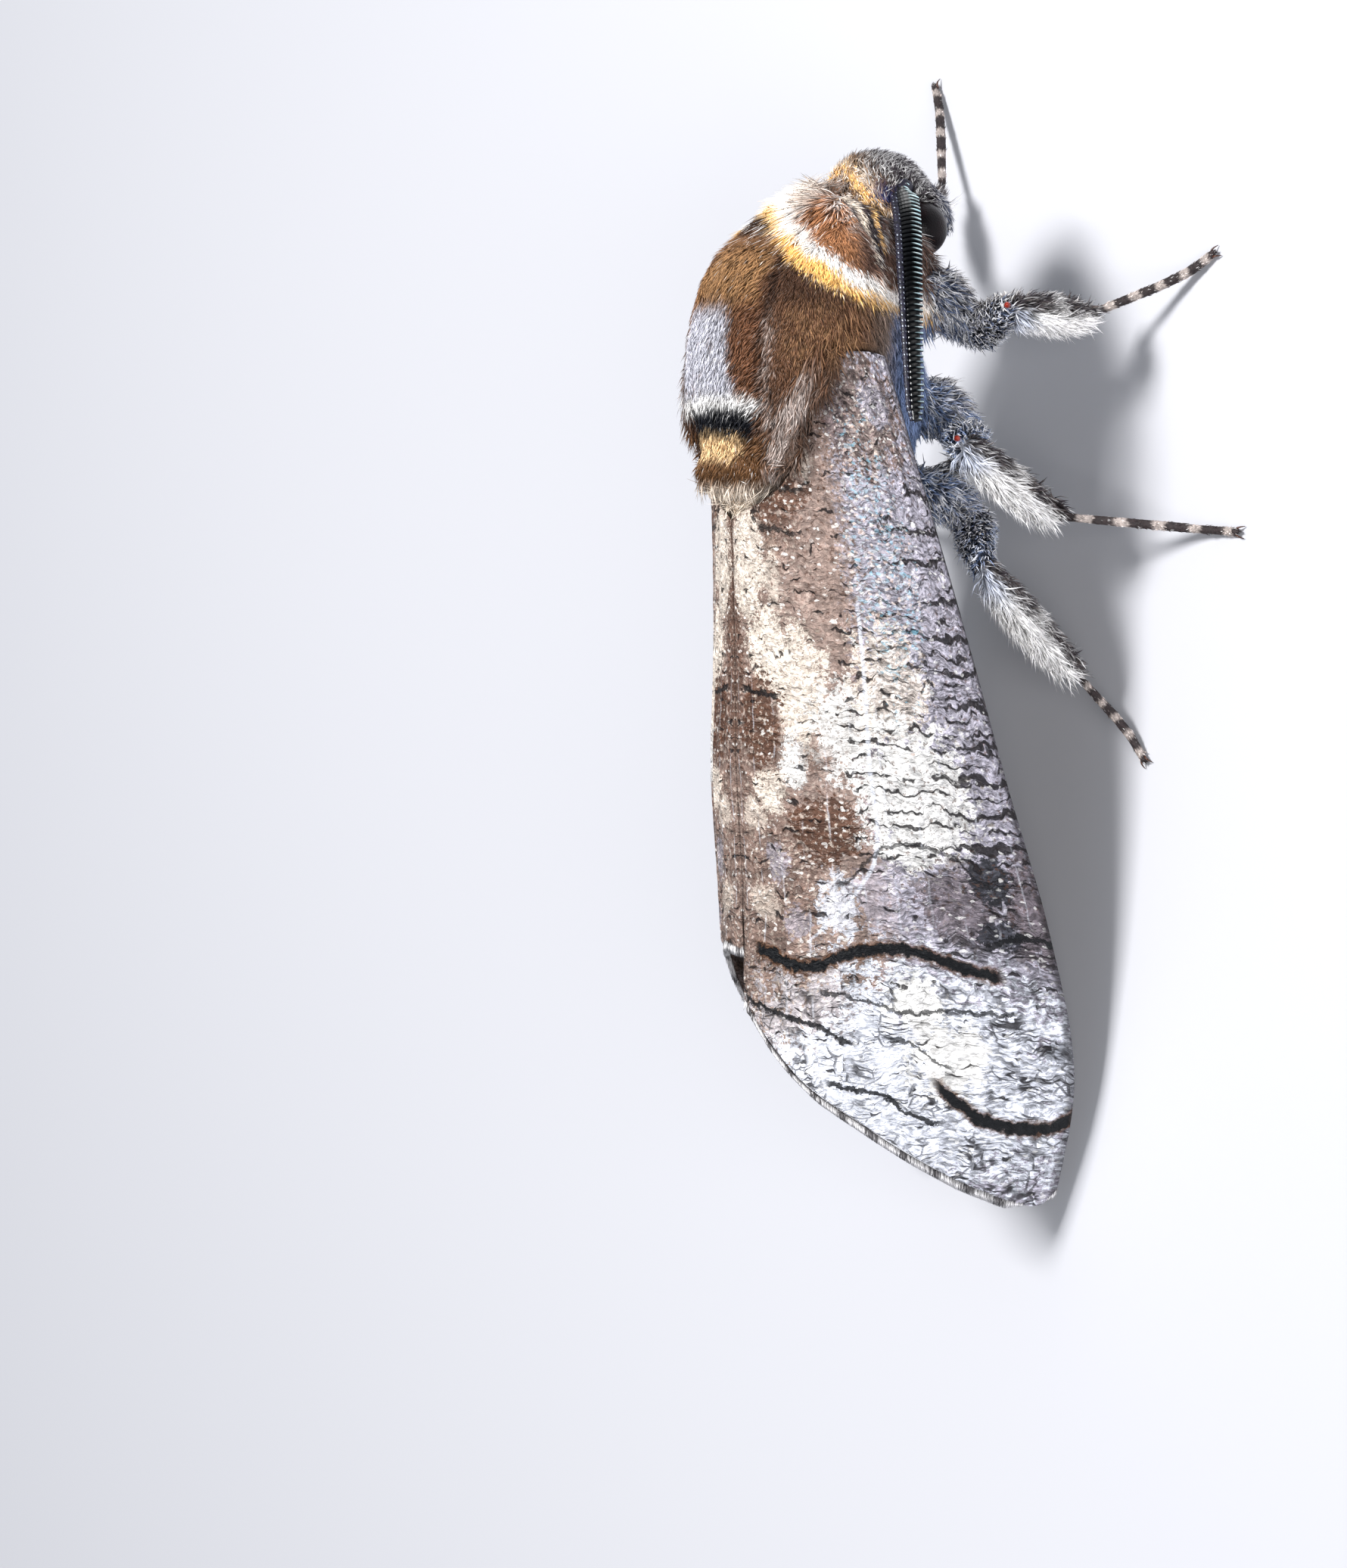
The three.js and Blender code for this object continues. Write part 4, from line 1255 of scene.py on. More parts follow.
def lies(kind, points, node_name):
    """Which way the coat lies at places on one kind of flesh."""
    count = len(points)
    back = np.tile((-1.0, 0.0, 0.0), (count, 1))
    if kind in ("thorax", "tegula"):
        turn = np.radians(np.abs(trunk_angles(points)))
        away = beside(0 * turn, np.where(points[:, 1] > 0, 1.0, -1.0) * np.cos(turn), -np.sin(turn))
        if kind == "thorax":
            return back - 0.75 * window(turned(points), 24, 44, 8)[:, None] * away
        return back + ((turned(points) - 60) / 90)[:, None] * away
    if kind == "collar":
        return unit(points - mirrored(points, COLLAR_WHORL)) + 0.45 * back
    if kind == "head":
        front = smooth_step(points[:, 0] - 0.5 * (points[:, 2] - 10.9), 18.3, 20.0)[:, None]
        low = below(points[:, 2], 8.5, 10.3)[:, None]
        up = np.array((1.0, 0.0, 0.35))
        return (1 - low) * ((1 - front) * up + front * np.array((0.1, 0.0, -1.0))) + 1.2 * low * back
    if kind == "palp":
        at_front = smooth_step(points[:, :1], 17.5, 19.4)
        return np.array((-0.55, 0.0, -0.85)) * at_front + back * (1 - at_front)
    if kind in LEG_PARTS:
        start, end = limb_ends(kind, leg_of(node_name))
        return np.tile(unit(end - start), (count, 1))
    return back


def trim(points):
    """How much shorter the coat is cut: half at the front of the collar, where its stripes are."""
    angle = turned(points)
    front = points[:, 0] - along(STRIPE_ANGLES, PALE_STRIPE, angle)
    at_front = smooth_step(front, -0.9, -0.4) * smooth_step(angle, 54, 62) * (points[:, 2] > 12.4)
    return 1 - 0.5 * at_front * below(forward_of(points), 20.6, 21.0)


def place_on_unwrap(points, node_name):
    """Places on an unwrap of the skin's shape: round the trunk, or round a limb of a leg."""
    kind = kind_of(node_name)
    if kind not in LEG_PARTS:
        centre = along(TRUNK_X, TRUNK_CENTRE, points[:, 0])
        if kind == "abdomen":
            centre = 12.1 + (points[:, 0] - 4.1) * 0.34
        return beside(points[:, 0], np.arctan2(points[:, 1], points[:, 2] - centre))
    start, end = limb_ends(kind, leg_of(node_name))
    axis = unit(end - start)
    share = (points - start) @ axis / np.linalg.norm(end - start)
    offset = points - start - np.outer((points - start) @ axis, axis)
    first = unit(np.cross(axis, (0.3, 0.2, 1.0)))
    turn = np.arctan2(offset @ np.cross(axis, first), offset @ first)
    return beside(LEG_PARTS.index(kind) + np.clip(share, -0.1, 1.1) * 0.9, turn)


class Coat:
    """Grows tufts on the skin, clear of the wings, eyes and feelers."""

    def __init__(self, points, triangles, owner, material):
        self.points = points
        self.triangles = triangles
        self.material = material
        self.normals = normals_of(points, triangles)
        self.owner = owner[triangles[:, 0]]
        first, second, third = (points[triangles[:, corner]] for corner in range(3))
        self.area = np.linalg.norm(np.cross(second - first, third - first), axis=1) / 2
        hard = [f"{part}_{side}" for part in ("forewing", "hindwing", "eye", "antenna") for side in SIDES]
        solids, solid_triangles, _ = joined(hard)
        self.hard = tree_of(solids, solid_triangles)
        self.random = np.random.default_rng(41)

    def roots(self, names, count, keep=None):
        """Evenly random roots on some solids' skin: their places, normals and solids' numbers."""
        numbers = [FLESH.index(name) for name in names]
        weight = self.area * np.isin(self.owner, numbers)
        if keep is not None:
            weight = weight * keep(self.points[self.triangles].mean(axis=1))
        chosen = np.sort(self.random.choice(len(weight), count, p=weight / weight.sum()))
        first, second = self.random.random((2, count))
        over = first + second > 1
        first, second = np.where(over, 1 - first, first), np.where(over, 1 - second, second)
        shares = beside(1 - first - second, first, second)[:, :, None]
        corners = self.triangles[chosen]
        roots = (self.points[corners] * shares).sum(axis=1)
        return roots, unit((self.normals[corners] * shares).sum(axis=1)), self.owner[chosen]

    def room(self, places, ways, lengths):
        """How much of each length is free of wings, eyes and feelers."""
        free = np.array(lengths)
        for number, (place, way) in enumerate(zip(places.tolist(), ways.tolist())):
            hit = self.hard.ray_cast(Vector(place), Vector(way), lengths[number] * 1.1)
            if hit[3] is not None:
                free[number] = hit[3] * 0.85
        return free

    def grow(self, name, slot, names, count, keep=None, longer=1.0, lift_by=0.0, frost=1.0):
        """A named piece of coat on some solids' skin."""
        roots, normals, owners = self.roots(names, count, keep)
        lie = np.empty_like(roots)
        style = np.empty((count, 6))
        spot = np.empty((count, 2))
        for number in np.unique(owners):
            own = owners == number
            kind = kind_of(FLESH[number])
            lie[own] = lies(kind, roots[own], FLESH[number])
            style[own] = TUFTS[kind]
            spot[own] = place_on_unwrap(roots[own], FLESH[number])
        length, width, lift, disorder, stray, frosting = style.T
        length = length * trim(roots) * longer * self.random.uniform(0.65, 1.25, count)
        lie = lie + disorder[:, None] * self.random.normal(0, 1, lie.shape)
        clump = beside(*(mottle(roots, 1.6, seed) for seed in (21.0, 22.0, 23.0)))
        lie = unit(lie + 0.5 * clump)
        lift = lift + lift_by + self.random.normal(0, 5, count)
        tuft = self.posed(roots, normals, lie, lift, length)

        strayed = stray[:, None] * self.random.normal(0, 1, roots.shape)
        frosted = (self.random.random(count) < frosting * frost) * self.random.uniform(0.5, 1.0, count)
        shades = np.empty((3, count, 3))
        for number in np.unique(owners):
            own = owners == number
            for stage in range(3):
                shades[stage][own] = coat_colours(tuft.stages[stage][own] + strayed[own], FLESH[number])
        shades[2] = paint(shades[2], frosted, "white")
        shades[1] = paint(shades[1], 0.4 * frosted, "white")
        self.build(name, slot, tuft, width, shades, spot)

    def posed(self, roots, normals, lie, lift, length):
        """Tufts' shapes: lie is their way along the skin, lift the degrees they rise from it."""
        lie = unit(lie - (lie * normals).sum(axis=1, keepdims=True) * normals)
        lift = np.radians(lift)[:, None]
        rise = np.cos(lift * 1.3) * lie + np.sin(lift * 1.3) * normals
        settle = np.cos(lift * 0.45) * lie + np.sin(lift * 0.45) * normals
        length = self.room(roots + 0.04 * normals, unit(rise + settle), length)
        half = (length * 0.5)[:, None]
        base = roots - 0.05 * normals
        return Tufts(normals, rise, length, (base, base + rise * half, base + (rise + settle) * half))

    def build(self, name, slot, tuft, width, shades, spot):
        """A mesh of tufts: shades are their colours at root, middle and tip, spot their unwrapped place."""
        kept = tuft.length > 0.12
        base, middle, tip = (stage[kept] for stage in tuft.stages)
        normals, rise = tuft.normals[kept], tuft.rise[kept]
        count = len(base)
        across = unit(np.cross(rise, normals))
        half = (width[kept] * 0.5 * self.random.uniform(0.75, 1.25, count))[:, None]
        corners = np.stack([
            base + across * half, base + normals * half * 0.7, base - across * half,
            middle + across * half * 0.8, middle + normals * half * 0.6, middle - across * half * 0.8,
            tip,
        ], axis=1)
        corners[..., 2] = np.maximum(corners[..., 2], 0.04)
        points = corners.reshape(-1, 3)

        mesh = bpy.data.meshes.new(name)
        faces = [np.array(face) for face in TUFT_FACES]
        loops = np.concatenate(faces)
        sizes = np.array([len(face) for face in faces])
        starts = np.concatenate([[0], np.cumsum(sizes)[:-1]])
        all_loops = (np.arange(count)[:, None] * 7 + loops).ravel()
        all_starts = (np.arange(count)[:, None] * len(loops) + starts).ravel()
        mesh.vertices.add(len(points))
        mesh.vertices.foreach_set("co", to_frame(points).ravel())
        mesh.loops.add(len(all_loops))
        mesh.loops.foreach_set("vertex_index", all_loops)
        mesh.polygons.add(len(all_starts))
        mesh.polygons.foreach_set("loop_start", all_starts)
        mesh.polygons.foreach_set("use_smooth", np.ones(len(all_starts), bool))

        root_shade, middle_shade, tip_shade = (shade[kept] for shade in shades)
        colours = np.stack([root_shade] * 3 + [middle_shade] * 3 + [tip_shade], axis=1)
        put_attribute(mesh, "coat_colour", "FLOAT_COLOR", colours.reshape(-1, 3))
        put_attribute(mesh, "tuft_along", "FLOAT", np.tile((0, 0, 0, 0.5, 0.5, 0.5, 1), count))
        put_attribute(mesh, "tuft_own", "FLOAT", np.repeat(self.random.random(count), 7))

        low, high = spot.min(axis=0), spot.max(axis=0)
        centre = 0.01 + 0.98 * (spot[kept] - low) / np.maximum(high - low, 1e-6)
        patch = (np.array(TUFT_PATCH) - 0.5) * PATCH
        uv = (centre[:, None, :] + patch[None]).reshape(-1, 2)
        layer = mesh.uv_layers.new(name="OFBake")
        layer.data.foreach_set("uv", uv[all_loops].astype(np.float32).ravel())
        mesh.update(calc_edges=True)
        mesh.validate()
        finish_piece(name, mesh, self.material, slot)

    def grow_fringe(self, side, count):
        """The fringe of long scales along a forewing's outer edge: pale, with dark ones at the veins."""
        share = self.random.random(count) ** 0.9
        layer = self.random.uniform(0.15, 0.33, count)
        x, _ = forewing_place(side, 1.0, share)
        roots = roof_point(side, x + 0.08, share, layer)
        ahead = roof_point(side, x + 0.3, share, layer)
        lower = roof_point(side, x + 0.08, np.minimum(share + 0.01, 1.0), layer)
        upper = roof_point(side, x + 0.08, np.maximum(share - 0.01, 0.0), layer)
        normals = unit(np.cross(roots - ahead, lower - upper)) * -SIDES[side]
        lie = unit(roots - ahead) + self.random.normal(0, 0.16, roots.shape)
        length = self.random.uniform(0.42, 0.62, count)
        tuft = self.posed(roots, normals, lie, self.random.normal(2, 5, count), length)
        vein = (share * WING_ARC - VEIN_START) / VEIN_GAP + self.random.normal(0, 0.07, count)
        dark = below(np.abs(vein - np.round(vein)), 0.10, 0.20)
        dye = Dye("white", count)
        dye.lay("lilac", 0.25)
        colours = dye.lay("smoke", 0.8 * dark)
        shades = (paint(colours, 0.35, "smoke"), colours, colours)
        width = np.full(count, 0.075)
        self.build(f"forewing_{side}_fringe", "forewing", tuft, width, shades, beside(x, share))


class Tufts:
    """Shapes of many tufts, with no width yet: stages are their places at root, middle and tip."""

    def __init__(self, normals, rise, length, stages):
        self.normals = normals
        self.rise = rise
        self.length = length
        self.stages = stages


def fur_material(tuft_shade):
    material, build = new_material("moth fur", Specular_IOR_Level=0.35)
    inputs = {"Coat": build.attribute("coat_colour", "Color"), "Along": build.attribute("tuft_along"),
              "Own": build.attribute("tuft_own")}
    # Root and Tip give painted shade deep in the coat and painted light at the hairs' tips.
    out = build.group(tuft_shade, Root=0.42, Tip=1.3, **inputs)
    build.give(Base_Color=out["Color"], Roughness=out["Roughness"])
    return material


def skin_material(pile):
    material, build = new_material("moth skin", Roughness=0.75)
    out = build.group(pile, Coat=build.attribute("coat_colour", "Color"), Scale=7000.0)
    build.give(Base_Color=out["Color"], Normal=build.bump(out["Height"], 0.08, 0.8))
    return material


def build_skin(points, triangles, owner, material):
    piece = mesh_piece("moth_skin", points, triangles.tolist(), material, "thorax", replaced=FLESH)
    colours = np.empty_like(points)
    for number in np.unique(owner):
        own = owner == number
        colours[own] = coat_colours(points[own], FLESH[number])
    # The skin is 0.6 as bright as the coat: painted shade beneath the hair.
    put_attribute(piece.data, "coat_colour", "FLOAT_COLOR", colours * 0.6)


skin_points, skin_triangles, skin_owner = shape_skin()
build_skin(skin_points, skin_triangles, skin_owner, skin_material(pile_group()))
coat = Coat(skin_points, skin_triangles, skin_owner, fur_material(tuft_shade_group()))

coat.grow("head_fur", "head", ("head",), 11000)
coat.grow("head_crest", "head", ("head",), 1500, longer=1.15, lift_by=16, frost=0.15,
          keep=lambda place: window(forward_of(place), *OCHRE_REAR, 0.1) * (place[:, 2] > 11.4))
coat.grow("head_patch", "head", ("head",), 500, longer=1.1, lift_by=16, frost=0.0,
          keep=lambda place: from_navy(place) < 0.5)
coat.grow("palp_fur", "palp", ("palp_l", "palp_r"), 2500)
coat.grow("collar_fur", "collar", ("collar",), 19500)
coat.grow("collar_mane", "collar", ("collar",), 2500, longer=1.25, lift_by=10,
          keep=lambda place: turned(place, MANE_ROLL) < 28)
coat.grow("thorax_fur_left", "thorax", ("thorax",), 11500, keep=lambda place: place[:, 1] > 0)
coat.grow("thorax_fur_right", "thorax", ("thorax",), 13500, keep=lambda place: place[:, 1] <= 0)
coat.grow("thorax_mane", "thorax", ("thorax", "crest"), 4500, longer=1.9, lift_by=2,
          keep=lambda place: place[:, 0] < 6.3)
for coat_side in SIDES:
    coat.grow(f"tegula_fur_{coat_side}", "tegula", (f"tegula_{coat_side}",), 11500)
    coat.grow(f"tegula_tail_{coat_side}", "tegula", (f"tegula_{coat_side}",), 2200, longer=2.1, lift_by=4,
              keep=lambda place: place[:, 0] < 8.6 + 0.155 * (turned(place, 0) - 36))
    coat.grow_fringe(coat_side, 3500)
coat.grow("crest_fur", "crest", ("crest",), 3500)
coat.grow("abdomen_fur", "abdomen", ("abdomen",), 4500)
for coat_leg in LEGS:
    coat.grow(f"{coat_leg}_fur", "tibia", tuple(f"{coat_leg}_{part}" for part in LEG_PARTS), 5200)
    coat.grow(f"{coat_leg}_fringe", "tibia", (f"{coat_leg}_tibia",), 900, longer=1.7, lift_by=12,
              keep=lambda place: behind_tibia(place, coat_leg))


# ---- Feelers, eyes and small parts ----

FEELER_PATH = ((19.0, 1.7, 10.9), (17.4, 3.6, 11.9), (14.0, 5.65, 12.95), (8.8, 6.95, 13.2))
LAMELLAE = 50
SHAFT_SIDES = 18
# Along the feeler's path, the points at which its web and its leaves start, and a leaf every few.
WEB_START = 6
LEAF_START = 8
LEAF_STEP = 4
# A leaf's rows of points, and the corners of each row.
LEAF_POINTS = 8
LEAF_CORNERS = 5
# Legs whose knees have a bare red spot, how far its middle is from the joint, its radius, and how
# much further it reaches outwards.
SPOTTED_LEGS = ("foreleg", "midleg")
KNEE_RISE = 0.48
KNEE_RADIUS = 0.14
KNEE_STRETCH = 0.18
# A feeler's comb and a knee's spot face this much out and this much up.
OUTWARD = (0.82, 0.57)


def between(first, second, t, start, end):
    """From first to second as t goes from start to end."""
    return (end - t) / (end - start) * first + (t - start) / (end - start) * second


def smooth_path(corners, count):
    """Points spread evenly along a centripetal Catmull-Rom curve through corners."""
    corners = np.asarray(corners, float)
    first = 2 * corners[0] - corners[1]
    last = 2 * corners[-1] - corners[-2]
    padded = np.vstack([first, corners, last])
    points = []
    for a, b, c, d in zip(padded, padded[1:], padded[2:], padded[3:]):
        gaps = [np.linalg.norm(step) ** 0.5 for step in (b - a, c - b, d - c)]
        knots = np.cumsum([0, *gaps])
        t = np.linspace(knots[1], knots[2], 60)[:, None]
        ab = between(a, b, t, knots[0], knots[1])
        bc = between(b, c, t, knots[1], knots[2])
        cd = between(c, d, t, knots[2], knots[3])
        left = between(ab, bc, t, knots[0], knots[2])
        right = between(bc, cd, t, knots[1], knots[3])
        points.append(between(left, right, t, knots[1], knots[2]))
    points = np.concatenate(points)
    run = np.concatenate([[0], np.cumsum(np.linalg.norm(np.diff(points, axis=0), axis=1))])
    even = np.linspace(0, run[-1], count)
    return beside(*(np.interp(even, run, column) for column in points.T))


def ring_faces(rows, sides):
    """Faces between rings of points that follow each other."""
    faces = []
    for row in range(rows - 1):
        near, far = row * sides, (row + 1) * sides
        for side in range(sides):
            after = (side + 1) % sides
            faces.append((near + side, near + after, far + after, far + side))
    return faces


def tube(path, radii, sides, flatten=1.0, up=(0, 0, 1)):
    """A closed tube along a path: points and faces. flatten squeezes its section along up."""
    path = np.asarray(path, float)
    tangent = unit(np.gradient(path, axis=0))
    across = unit(np.cross(tangent, np.asarray(up, float)))
    other = np.cross(across, tangent)
    turn = 2 * np.pi * np.arange(sides) / sides
    cosine, sine = np.cos(turn)[None, :, None], np.sin(turn)[None, :, None]
    ring = cosine * across[:, None] + flatten * sine * other[:, None]
    points = (path[:, None] + ring * np.asarray(radii, float)[:, None, None]).reshape(-1, 3)
    ends = [tuple(range(sides))[::-1], tuple(range(len(points) - sides, len(points)))]
    return points, ring_faces(len(path), sides) + ends


def ball(rows, columns):
    """A unit ball whose poles are on Y: points and faces."""
    turns = 2 * math.pi * np.arange(columns) / columns
    polar, turn = np.meshgrid(np.linspace(0, math.pi, rows), turns, indexing="ij")
    points = beside(np.sin(polar) * np.cos(turn), np.cos(polar), np.sin(polar) * np.sin(turn))
    return points.reshape(-1, 3), ring_faces(rows, columns)


def merged(shapes):
    """Several (points, faces) as one."""
    points, faces, count = [], [], 0
    for more, more_faces in shapes:
        points.append(more)
        faces.extend(tuple(corner + count for corner in face) for face in more_faces)
        count += len(more)
    return np.concatenate(points), faces


def lamella(root, ahead, out, face, reach):
    """One leaf of a feeler's comb: a curved blade that stands out from the shaft, its rim to the face."""
    shares = np.linspace(0, 1, LEAF_POINTS)
    path = root + out * (reach * shares)[:, None] - ahead * (0.05 * shares ** 2)[:, None]
    path = path + face * (0.16 * np.sin(math.pi * (0.15 + 0.75 * shares)))[:, None]
    high = 0.20 * np.sqrt(1 - 0.8 * shares ** 3)
    thick = 0.056 - 0.02 * shares
    points = []
    for place, half, slim in zip(path, high, thick):
        rim, foot = place + face * half, place - face * half
        shoulder = place + face * half * 0.5
        side = ahead * slim
        points += [rim, shoulder + side, foot + side, foot - side, shoulder - side]
    last = len(points) - LEAF_CORNERS
    ends = [tuple(range(LEAF_CORNERS))[::-1], tuple(range(last, len(points)))]
    return np.array(points), ring_faces(LEAF_POINTS, LEAF_CORNERS) + ends


def outward(side):
    """The way out and up on one side of the moth."""
    return np.array((0.0, SIDES[side] * OUTWARD[0], OUTWARD[1]))


def build_feeler(side, shaft_material, comb_material):
    """A shaft of many joints, and on its lower side a comb of short leaves over a dark web."""
    node = f"antenna_{side}"
    path = smooth_path(np.array(FEELER_PATH) * (1, SIDES[side], 1), LAMELLAE * LEAF_STEP + 1)
    count = len(path)
    tangent = unit(np.gradient(path, axis=0))
    face = np.tile(outward(side), (count, 1))
    face = unit(face - (face * tangent).sum(axis=1, keepdims=True) * tangent)
    out = unit(np.cross(tangent, face))
    out *= -np.sign(out[:, 2:])
    share = np.linspace(0, 1, count)
    taper = (1 - 0.45 * share ** 1.5) * (1 - 0.35 * smooth_step(share, 0.94, 1.0))

    # The shaft lies above the comb but for its thick domed root, and its joints carry pale dots.
    past_root = smooth_step(share, 0.02, 0.075)
    shaft = path - out * (0.45 * taper * past_root)[:, None]
    joint = 1 + 0.10 * np.cos(math.pi / 2 * np.arange(count))
    radii = 0.185 * taper * joint + 0.23 * (1 - past_root)
    radii[:4] *= (0.45, 0.75, 0.9, 0.97)
    points, faces = tube(shaft, radii, SHAFT_SIDES)
    shaft_piece = mesh_piece(f"{node}_shaft", points, faces, shaft_material, "antenna", replaced=(node,))
    dots = np.outer(np.arange(count) % LEAF_STEP == 2, np.arange(SHAFT_SIDES) % 3 == 0)
    strength = np.random.default_rng(7).uniform(0.25, 1.0, dots.shape) * past_root[:, None]
    put_attribute(shaft_piece.data, "dots", "FLOAT", (dots * strength).ravel())

    web = path[WEB_START:] + out[WEB_START:] * 0.08 * taper[WEB_START:, None]
    web_radii = 0.36 * (taper * past_root)[WEB_START:]
    points, faces = tube(web, web_radii, 12, flatten=0.22, up=face[count // 2])
    mesh_piece(f"{node}_web", points, faces, comb_material, "antenna")

    leaves = []
    for place in range(LEAF_START, count, LEAF_STEP):
        reach = 0.9 * min(1.0, place / 22) * taper[place]
        root = shaft[place] + out[place] * 0.12
        leaves.append(lamella(root, tangent[place], out[place], face[place], reach))
    points, faces = merged(leaves)
    comb = mesh_piece(f"{node}_comb", points, faces, comb_material, "antenna", smooth=False)
    # Each leaf's rim and its outer part take the painted highlights.
    ridge = np.outer(np.linspace(0, 1, LEAF_POINTS), (1.0, 0.45, 0.0, 0.0, 0.45)).ravel()
    put_attribute(comb.data, "leaf_share", "FLOAT", np.tile(ridge, len(leaves)))


def build_eye(side, material):
    globe, faces = ball(64, 96)
    points = eye_centre(side) + globe * (EYE_RADIUS - 0.03)
    mesh_piece(f"eye_{side}_globe", points, faces, material, "eye", replaced=(f"eye_{side}",))


def build_knee(leg, material):
    """A bare red spot in the fur of a knee: a ball stretched outwards."""
    way = unit(outward(leg[-1]))
    middle = leg_joints(leg)[2] + way * KNEE_RISE + (0.0, 0.0, 0.1)
    spot, faces = ball(10, 16)
    spot = spot[:, (0, 2, 1)]
    faces = [(a, d, c, b) for a, b, c, d in faces]
    spot = KNEE_RADIUS * spot + KNEE_STRETCH * np.outer(spot @ way, way)
    mesh_piece(f"{leg}_knee_spot", middle + spot, faces, material, "femur")


def build_claws(leg, material):
    """The pair of curved claws at the end of a foot."""
    joints = leg_joints(leg)
    along_foot = unit((joints[4] - joints[3]) * (1, 1, 0))
    aside = np.array((-along_foot[1], along_foot[0], 0.0))
    shapes = []
    for turn in (-1, 1):
        shares = np.linspace(0, 1, 7)[:, None]
        path = joints[4] + along_foot * (0.05 + 0.42 * shares) + aside * turn * (0.06 + 0.2 * shares ** 0.7)
        path[:, 2] = 0.2 + 0.12 * np.sin(math.pi * shares[:, 0]) - 0.13 * shares[:, 0]
        shapes.append(tube(path, 0.07 * (1 - 0.8 * shares[:, 0]), 7))
    points, faces = merged(shapes)
    mesh_piece(f"{leg}_claws", points, faces, material, "tarsus")


def eye_material():
    material, build = new_material("eye gloss", Roughness=0.3, Specular_IOR_Level=0.15)
    place = build.place() * PER_MM
    facets = build.cells(place, 14.0)
    shade = build.ramp(build.noise(place, 1.2, 2.0), 0.3, 0.7)
    colour = build.mix(shade, tint(0.04, 0.02, 0.03), tint(0.11, 0.05, 0.06))
    build.give(Base_Color=colour, Normal=build.bump(facets, 0.03, 0.35))
    return material


def shaft_material():
    material, build = new_material("feeler shaft scales", Roughness=0.5)
    light, other, _ = build.split(build.cells(build.place() * PER_MM, 11.0, "F1", "Color"))
    dark = build.mix(other, tint(0.03, 0.03, 0.07), tint(0.15, 0.14, 0.22))
    dots = build.ramp(build.attribute("dots"), 0.22, 0.6)
    colour = build.mix(dots, dark, tint(0.84, 0.88, 0.95))
    build.give(Base_Color=colour, Normal=build.bump(light, 0.05, 0.8))
    return material


def comb_material():
    """Black, with painted highlights of cyan and white towards the ends of the leaves."""
    material, build = new_material("feeler comb", Roughness=0.3, Coat_Weight=0.25, Coat_Roughness=0.25)
    place = build.place() * PER_MM
    # Painted highlights, in patches, of cyan and white towards the leaves' rims and ends.
    patchy = build.ramp(build.noise(place, 2.2, 2.0), 0.35, 0.62, 0.4, 1.0)
    painted_glint = patchy * build.ramp(build.attribute("leaf_share"), 0.38, 0.62)
    tone = build.mix(build.noise(place, 4.0, 1.0), tint(0.60, 0.86, 0.92), tint(1.0, 1.0, 0.98))
    build.give(Base_Color=build.mix(painted_glint, tint(0.02, 0.025, 0.04), tone))
    return material


def cuticle_material(name, colour, roughness):
    material, build = new_material(name, Roughness=roughness)
    shade = build.ramp(build.noise(build.place() * PER_MM, 5.0, 2.0), 0.3, 0.7, 0.7, 1.2)
    build.give(Base_Color=build.lit(colour, shade))
    return material


eye_gloss = eye_material()
feeler_shaft, feeler_comb = shaft_material(), comb_material()
knee_red = cuticle_material("knee red", tint(0.60, 0.16, 0.08), 0.25)
claw_horn = cuticle_material("claw horn", tint(0.28, 0.15, 0.09), 0.3)
for detail_side in SIDES:
    build_eye(detail_side, eye_gloss)
    build_feeler(detail_side, feeler_shaft, feeler_comb)
    for knee_leg in SPOTTED_LEGS:
        build_knee(f"{knee_leg}_{detail_side}", knee_red)
for clawed_leg in LEGS:
    build_claws(clawed_leg, claw_horn)


# ---- Camera, light and floor ----

CAMERA_RISE = math.radians(35)
# The middle of the view, along the moth's forward, the camera's up and the way back to the camera.
TARGET = (-6.94, 15.6, 9.8)
DISTANCE = 280.0
VIEW_TALL = 65.57
SENSOR = 36
# How the picture's upright lies between the moth's forward and the camera's up.
LEAN = (0.9969, 0.0785)
LAMP_AIM = (0, 0, 8)
FLOOR_HALF = 0.6


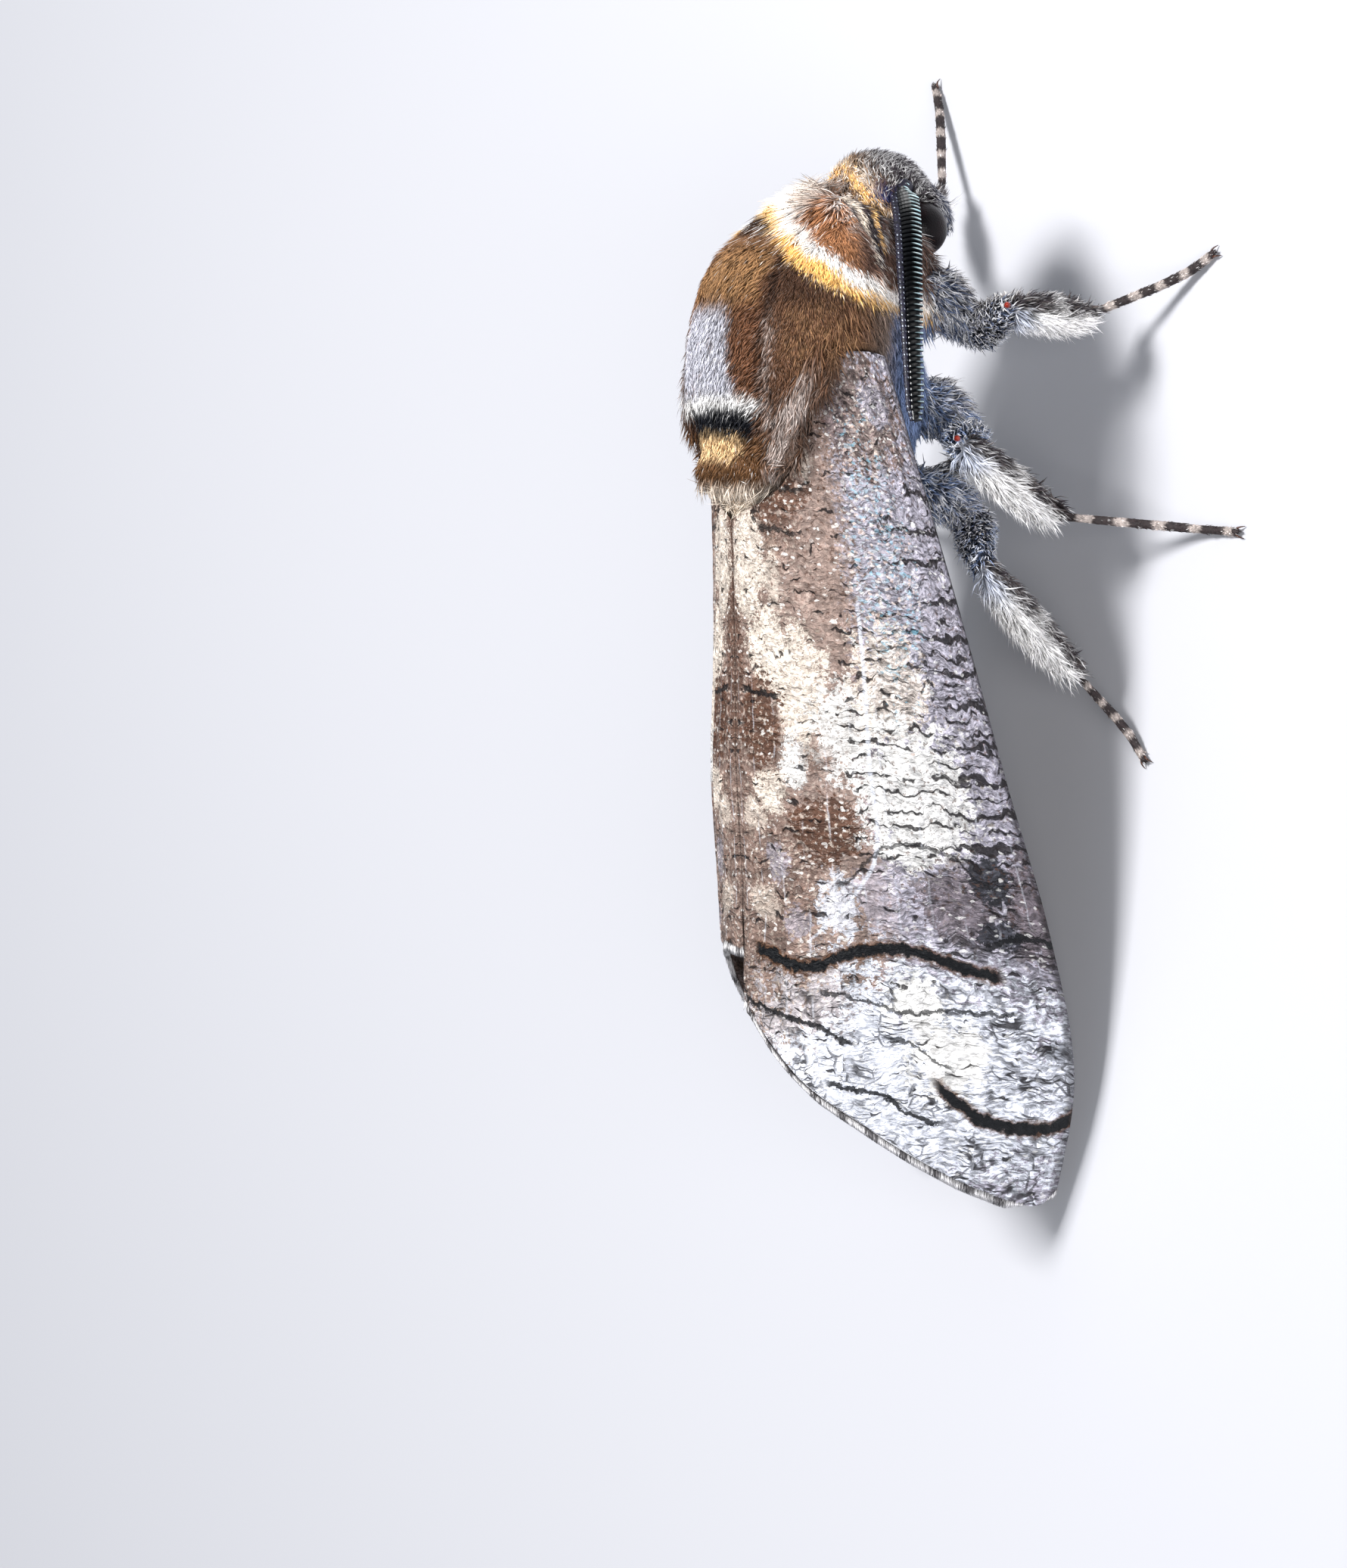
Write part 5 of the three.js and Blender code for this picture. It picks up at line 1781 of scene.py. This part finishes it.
def build_camera():
    """Looks down at the moth's right side from 35 degrees up, with its head at the top."""
    up = Vector((0, math.sin(CAMERA_RISE), math.cos(CAMERA_RISE)))
    back = Vector((0, -math.cos(CAMERA_RISE), math.sin(CAMERA_RISE)))
    forward = Vector((1, 0, 0))
    target = (TARGET[0] - CENTRE_X) * forward + TARGET[1] * up + TARGET[2] * back
    picture_up = (LEAN[0] * forward + LEAN[1] * up).normalized()
    picture_right = picture_up.cross(back).normalized()
    data = bpy.data.cameras.new("macro camera")
    data.sensor_fit = "VERTICAL"
    data.sensor_height = SENSOR
    data.lens = SENSOR * DISTANCE / VIEW_TALL
    data.clip_start = 0.01
    data.clip_end = 5
    camera = in_scene("macro camera", data)
    axes = Matrix((picture_right, picture_up, back)).transposed().to_4x4()
    camera.matrix_world = Matrix.Translation((target + back * DISTANCE) * MM) @ axes
    bpy.context.scene.camera = camera


def build_lamp(name, place, size, power):
    """A square area lamp: places and size in millimetres, power in watts."""
    data = bpy.data.lights.new(name, "AREA")
    data.size = size * MM
    data.energy = power
    turn = (Vector(LAMP_AIM) - Vector(place)).to_track_quat("-Z", "Y").to_matrix().to_4x4()
    in_scene(name, data).matrix_world = Matrix.Translation(Vector(place) * MM) @ turn


def build_floor():
    material, _ = new_material("pale floor", Roughness=0.9, Base_Color=tint(0.80, 0.80, 0.82))
    corners = [(x * FLOOR_HALF, y * FLOOR_HALF, 0) for x, y in ((-1, -1), (1, -1), (1, 1), (-1, 1))]
    mesh = bpy.data.meshes.new("floor")
    mesh.from_pydata(corners, [], [(0, 1, 2, 3)])
    mesh.materials.append(material)
    floor = in_scene("floor", mesh)
    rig.stage(floor)


def build_world():
    world = bpy.data.worlds.new("studio")
    world.use_nodes = True
    background = world.node_tree.nodes["Background"]
    background.inputs["Color"].default_value = (0.86, 0.92, 1.0, 1)
    background.inputs["Strength"].default_value = 0.33
    bpy.context.scene.world = world


build_camera()
build_floor()
build_world()
build_lamp("key lamp", (80, -20, 250), 60, 0.85)
build_lamp("fill lamp", (-30, -240, 130), 110, 0.33)
bpy.context.scene.view_settings.view_transform = "Standard"

with open("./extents.json", "w") as size_file:
    json.dump({"cad": [list(corner) for corner in cad_box],
               "visual": [list(corner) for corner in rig.bounds()]}, size_file)
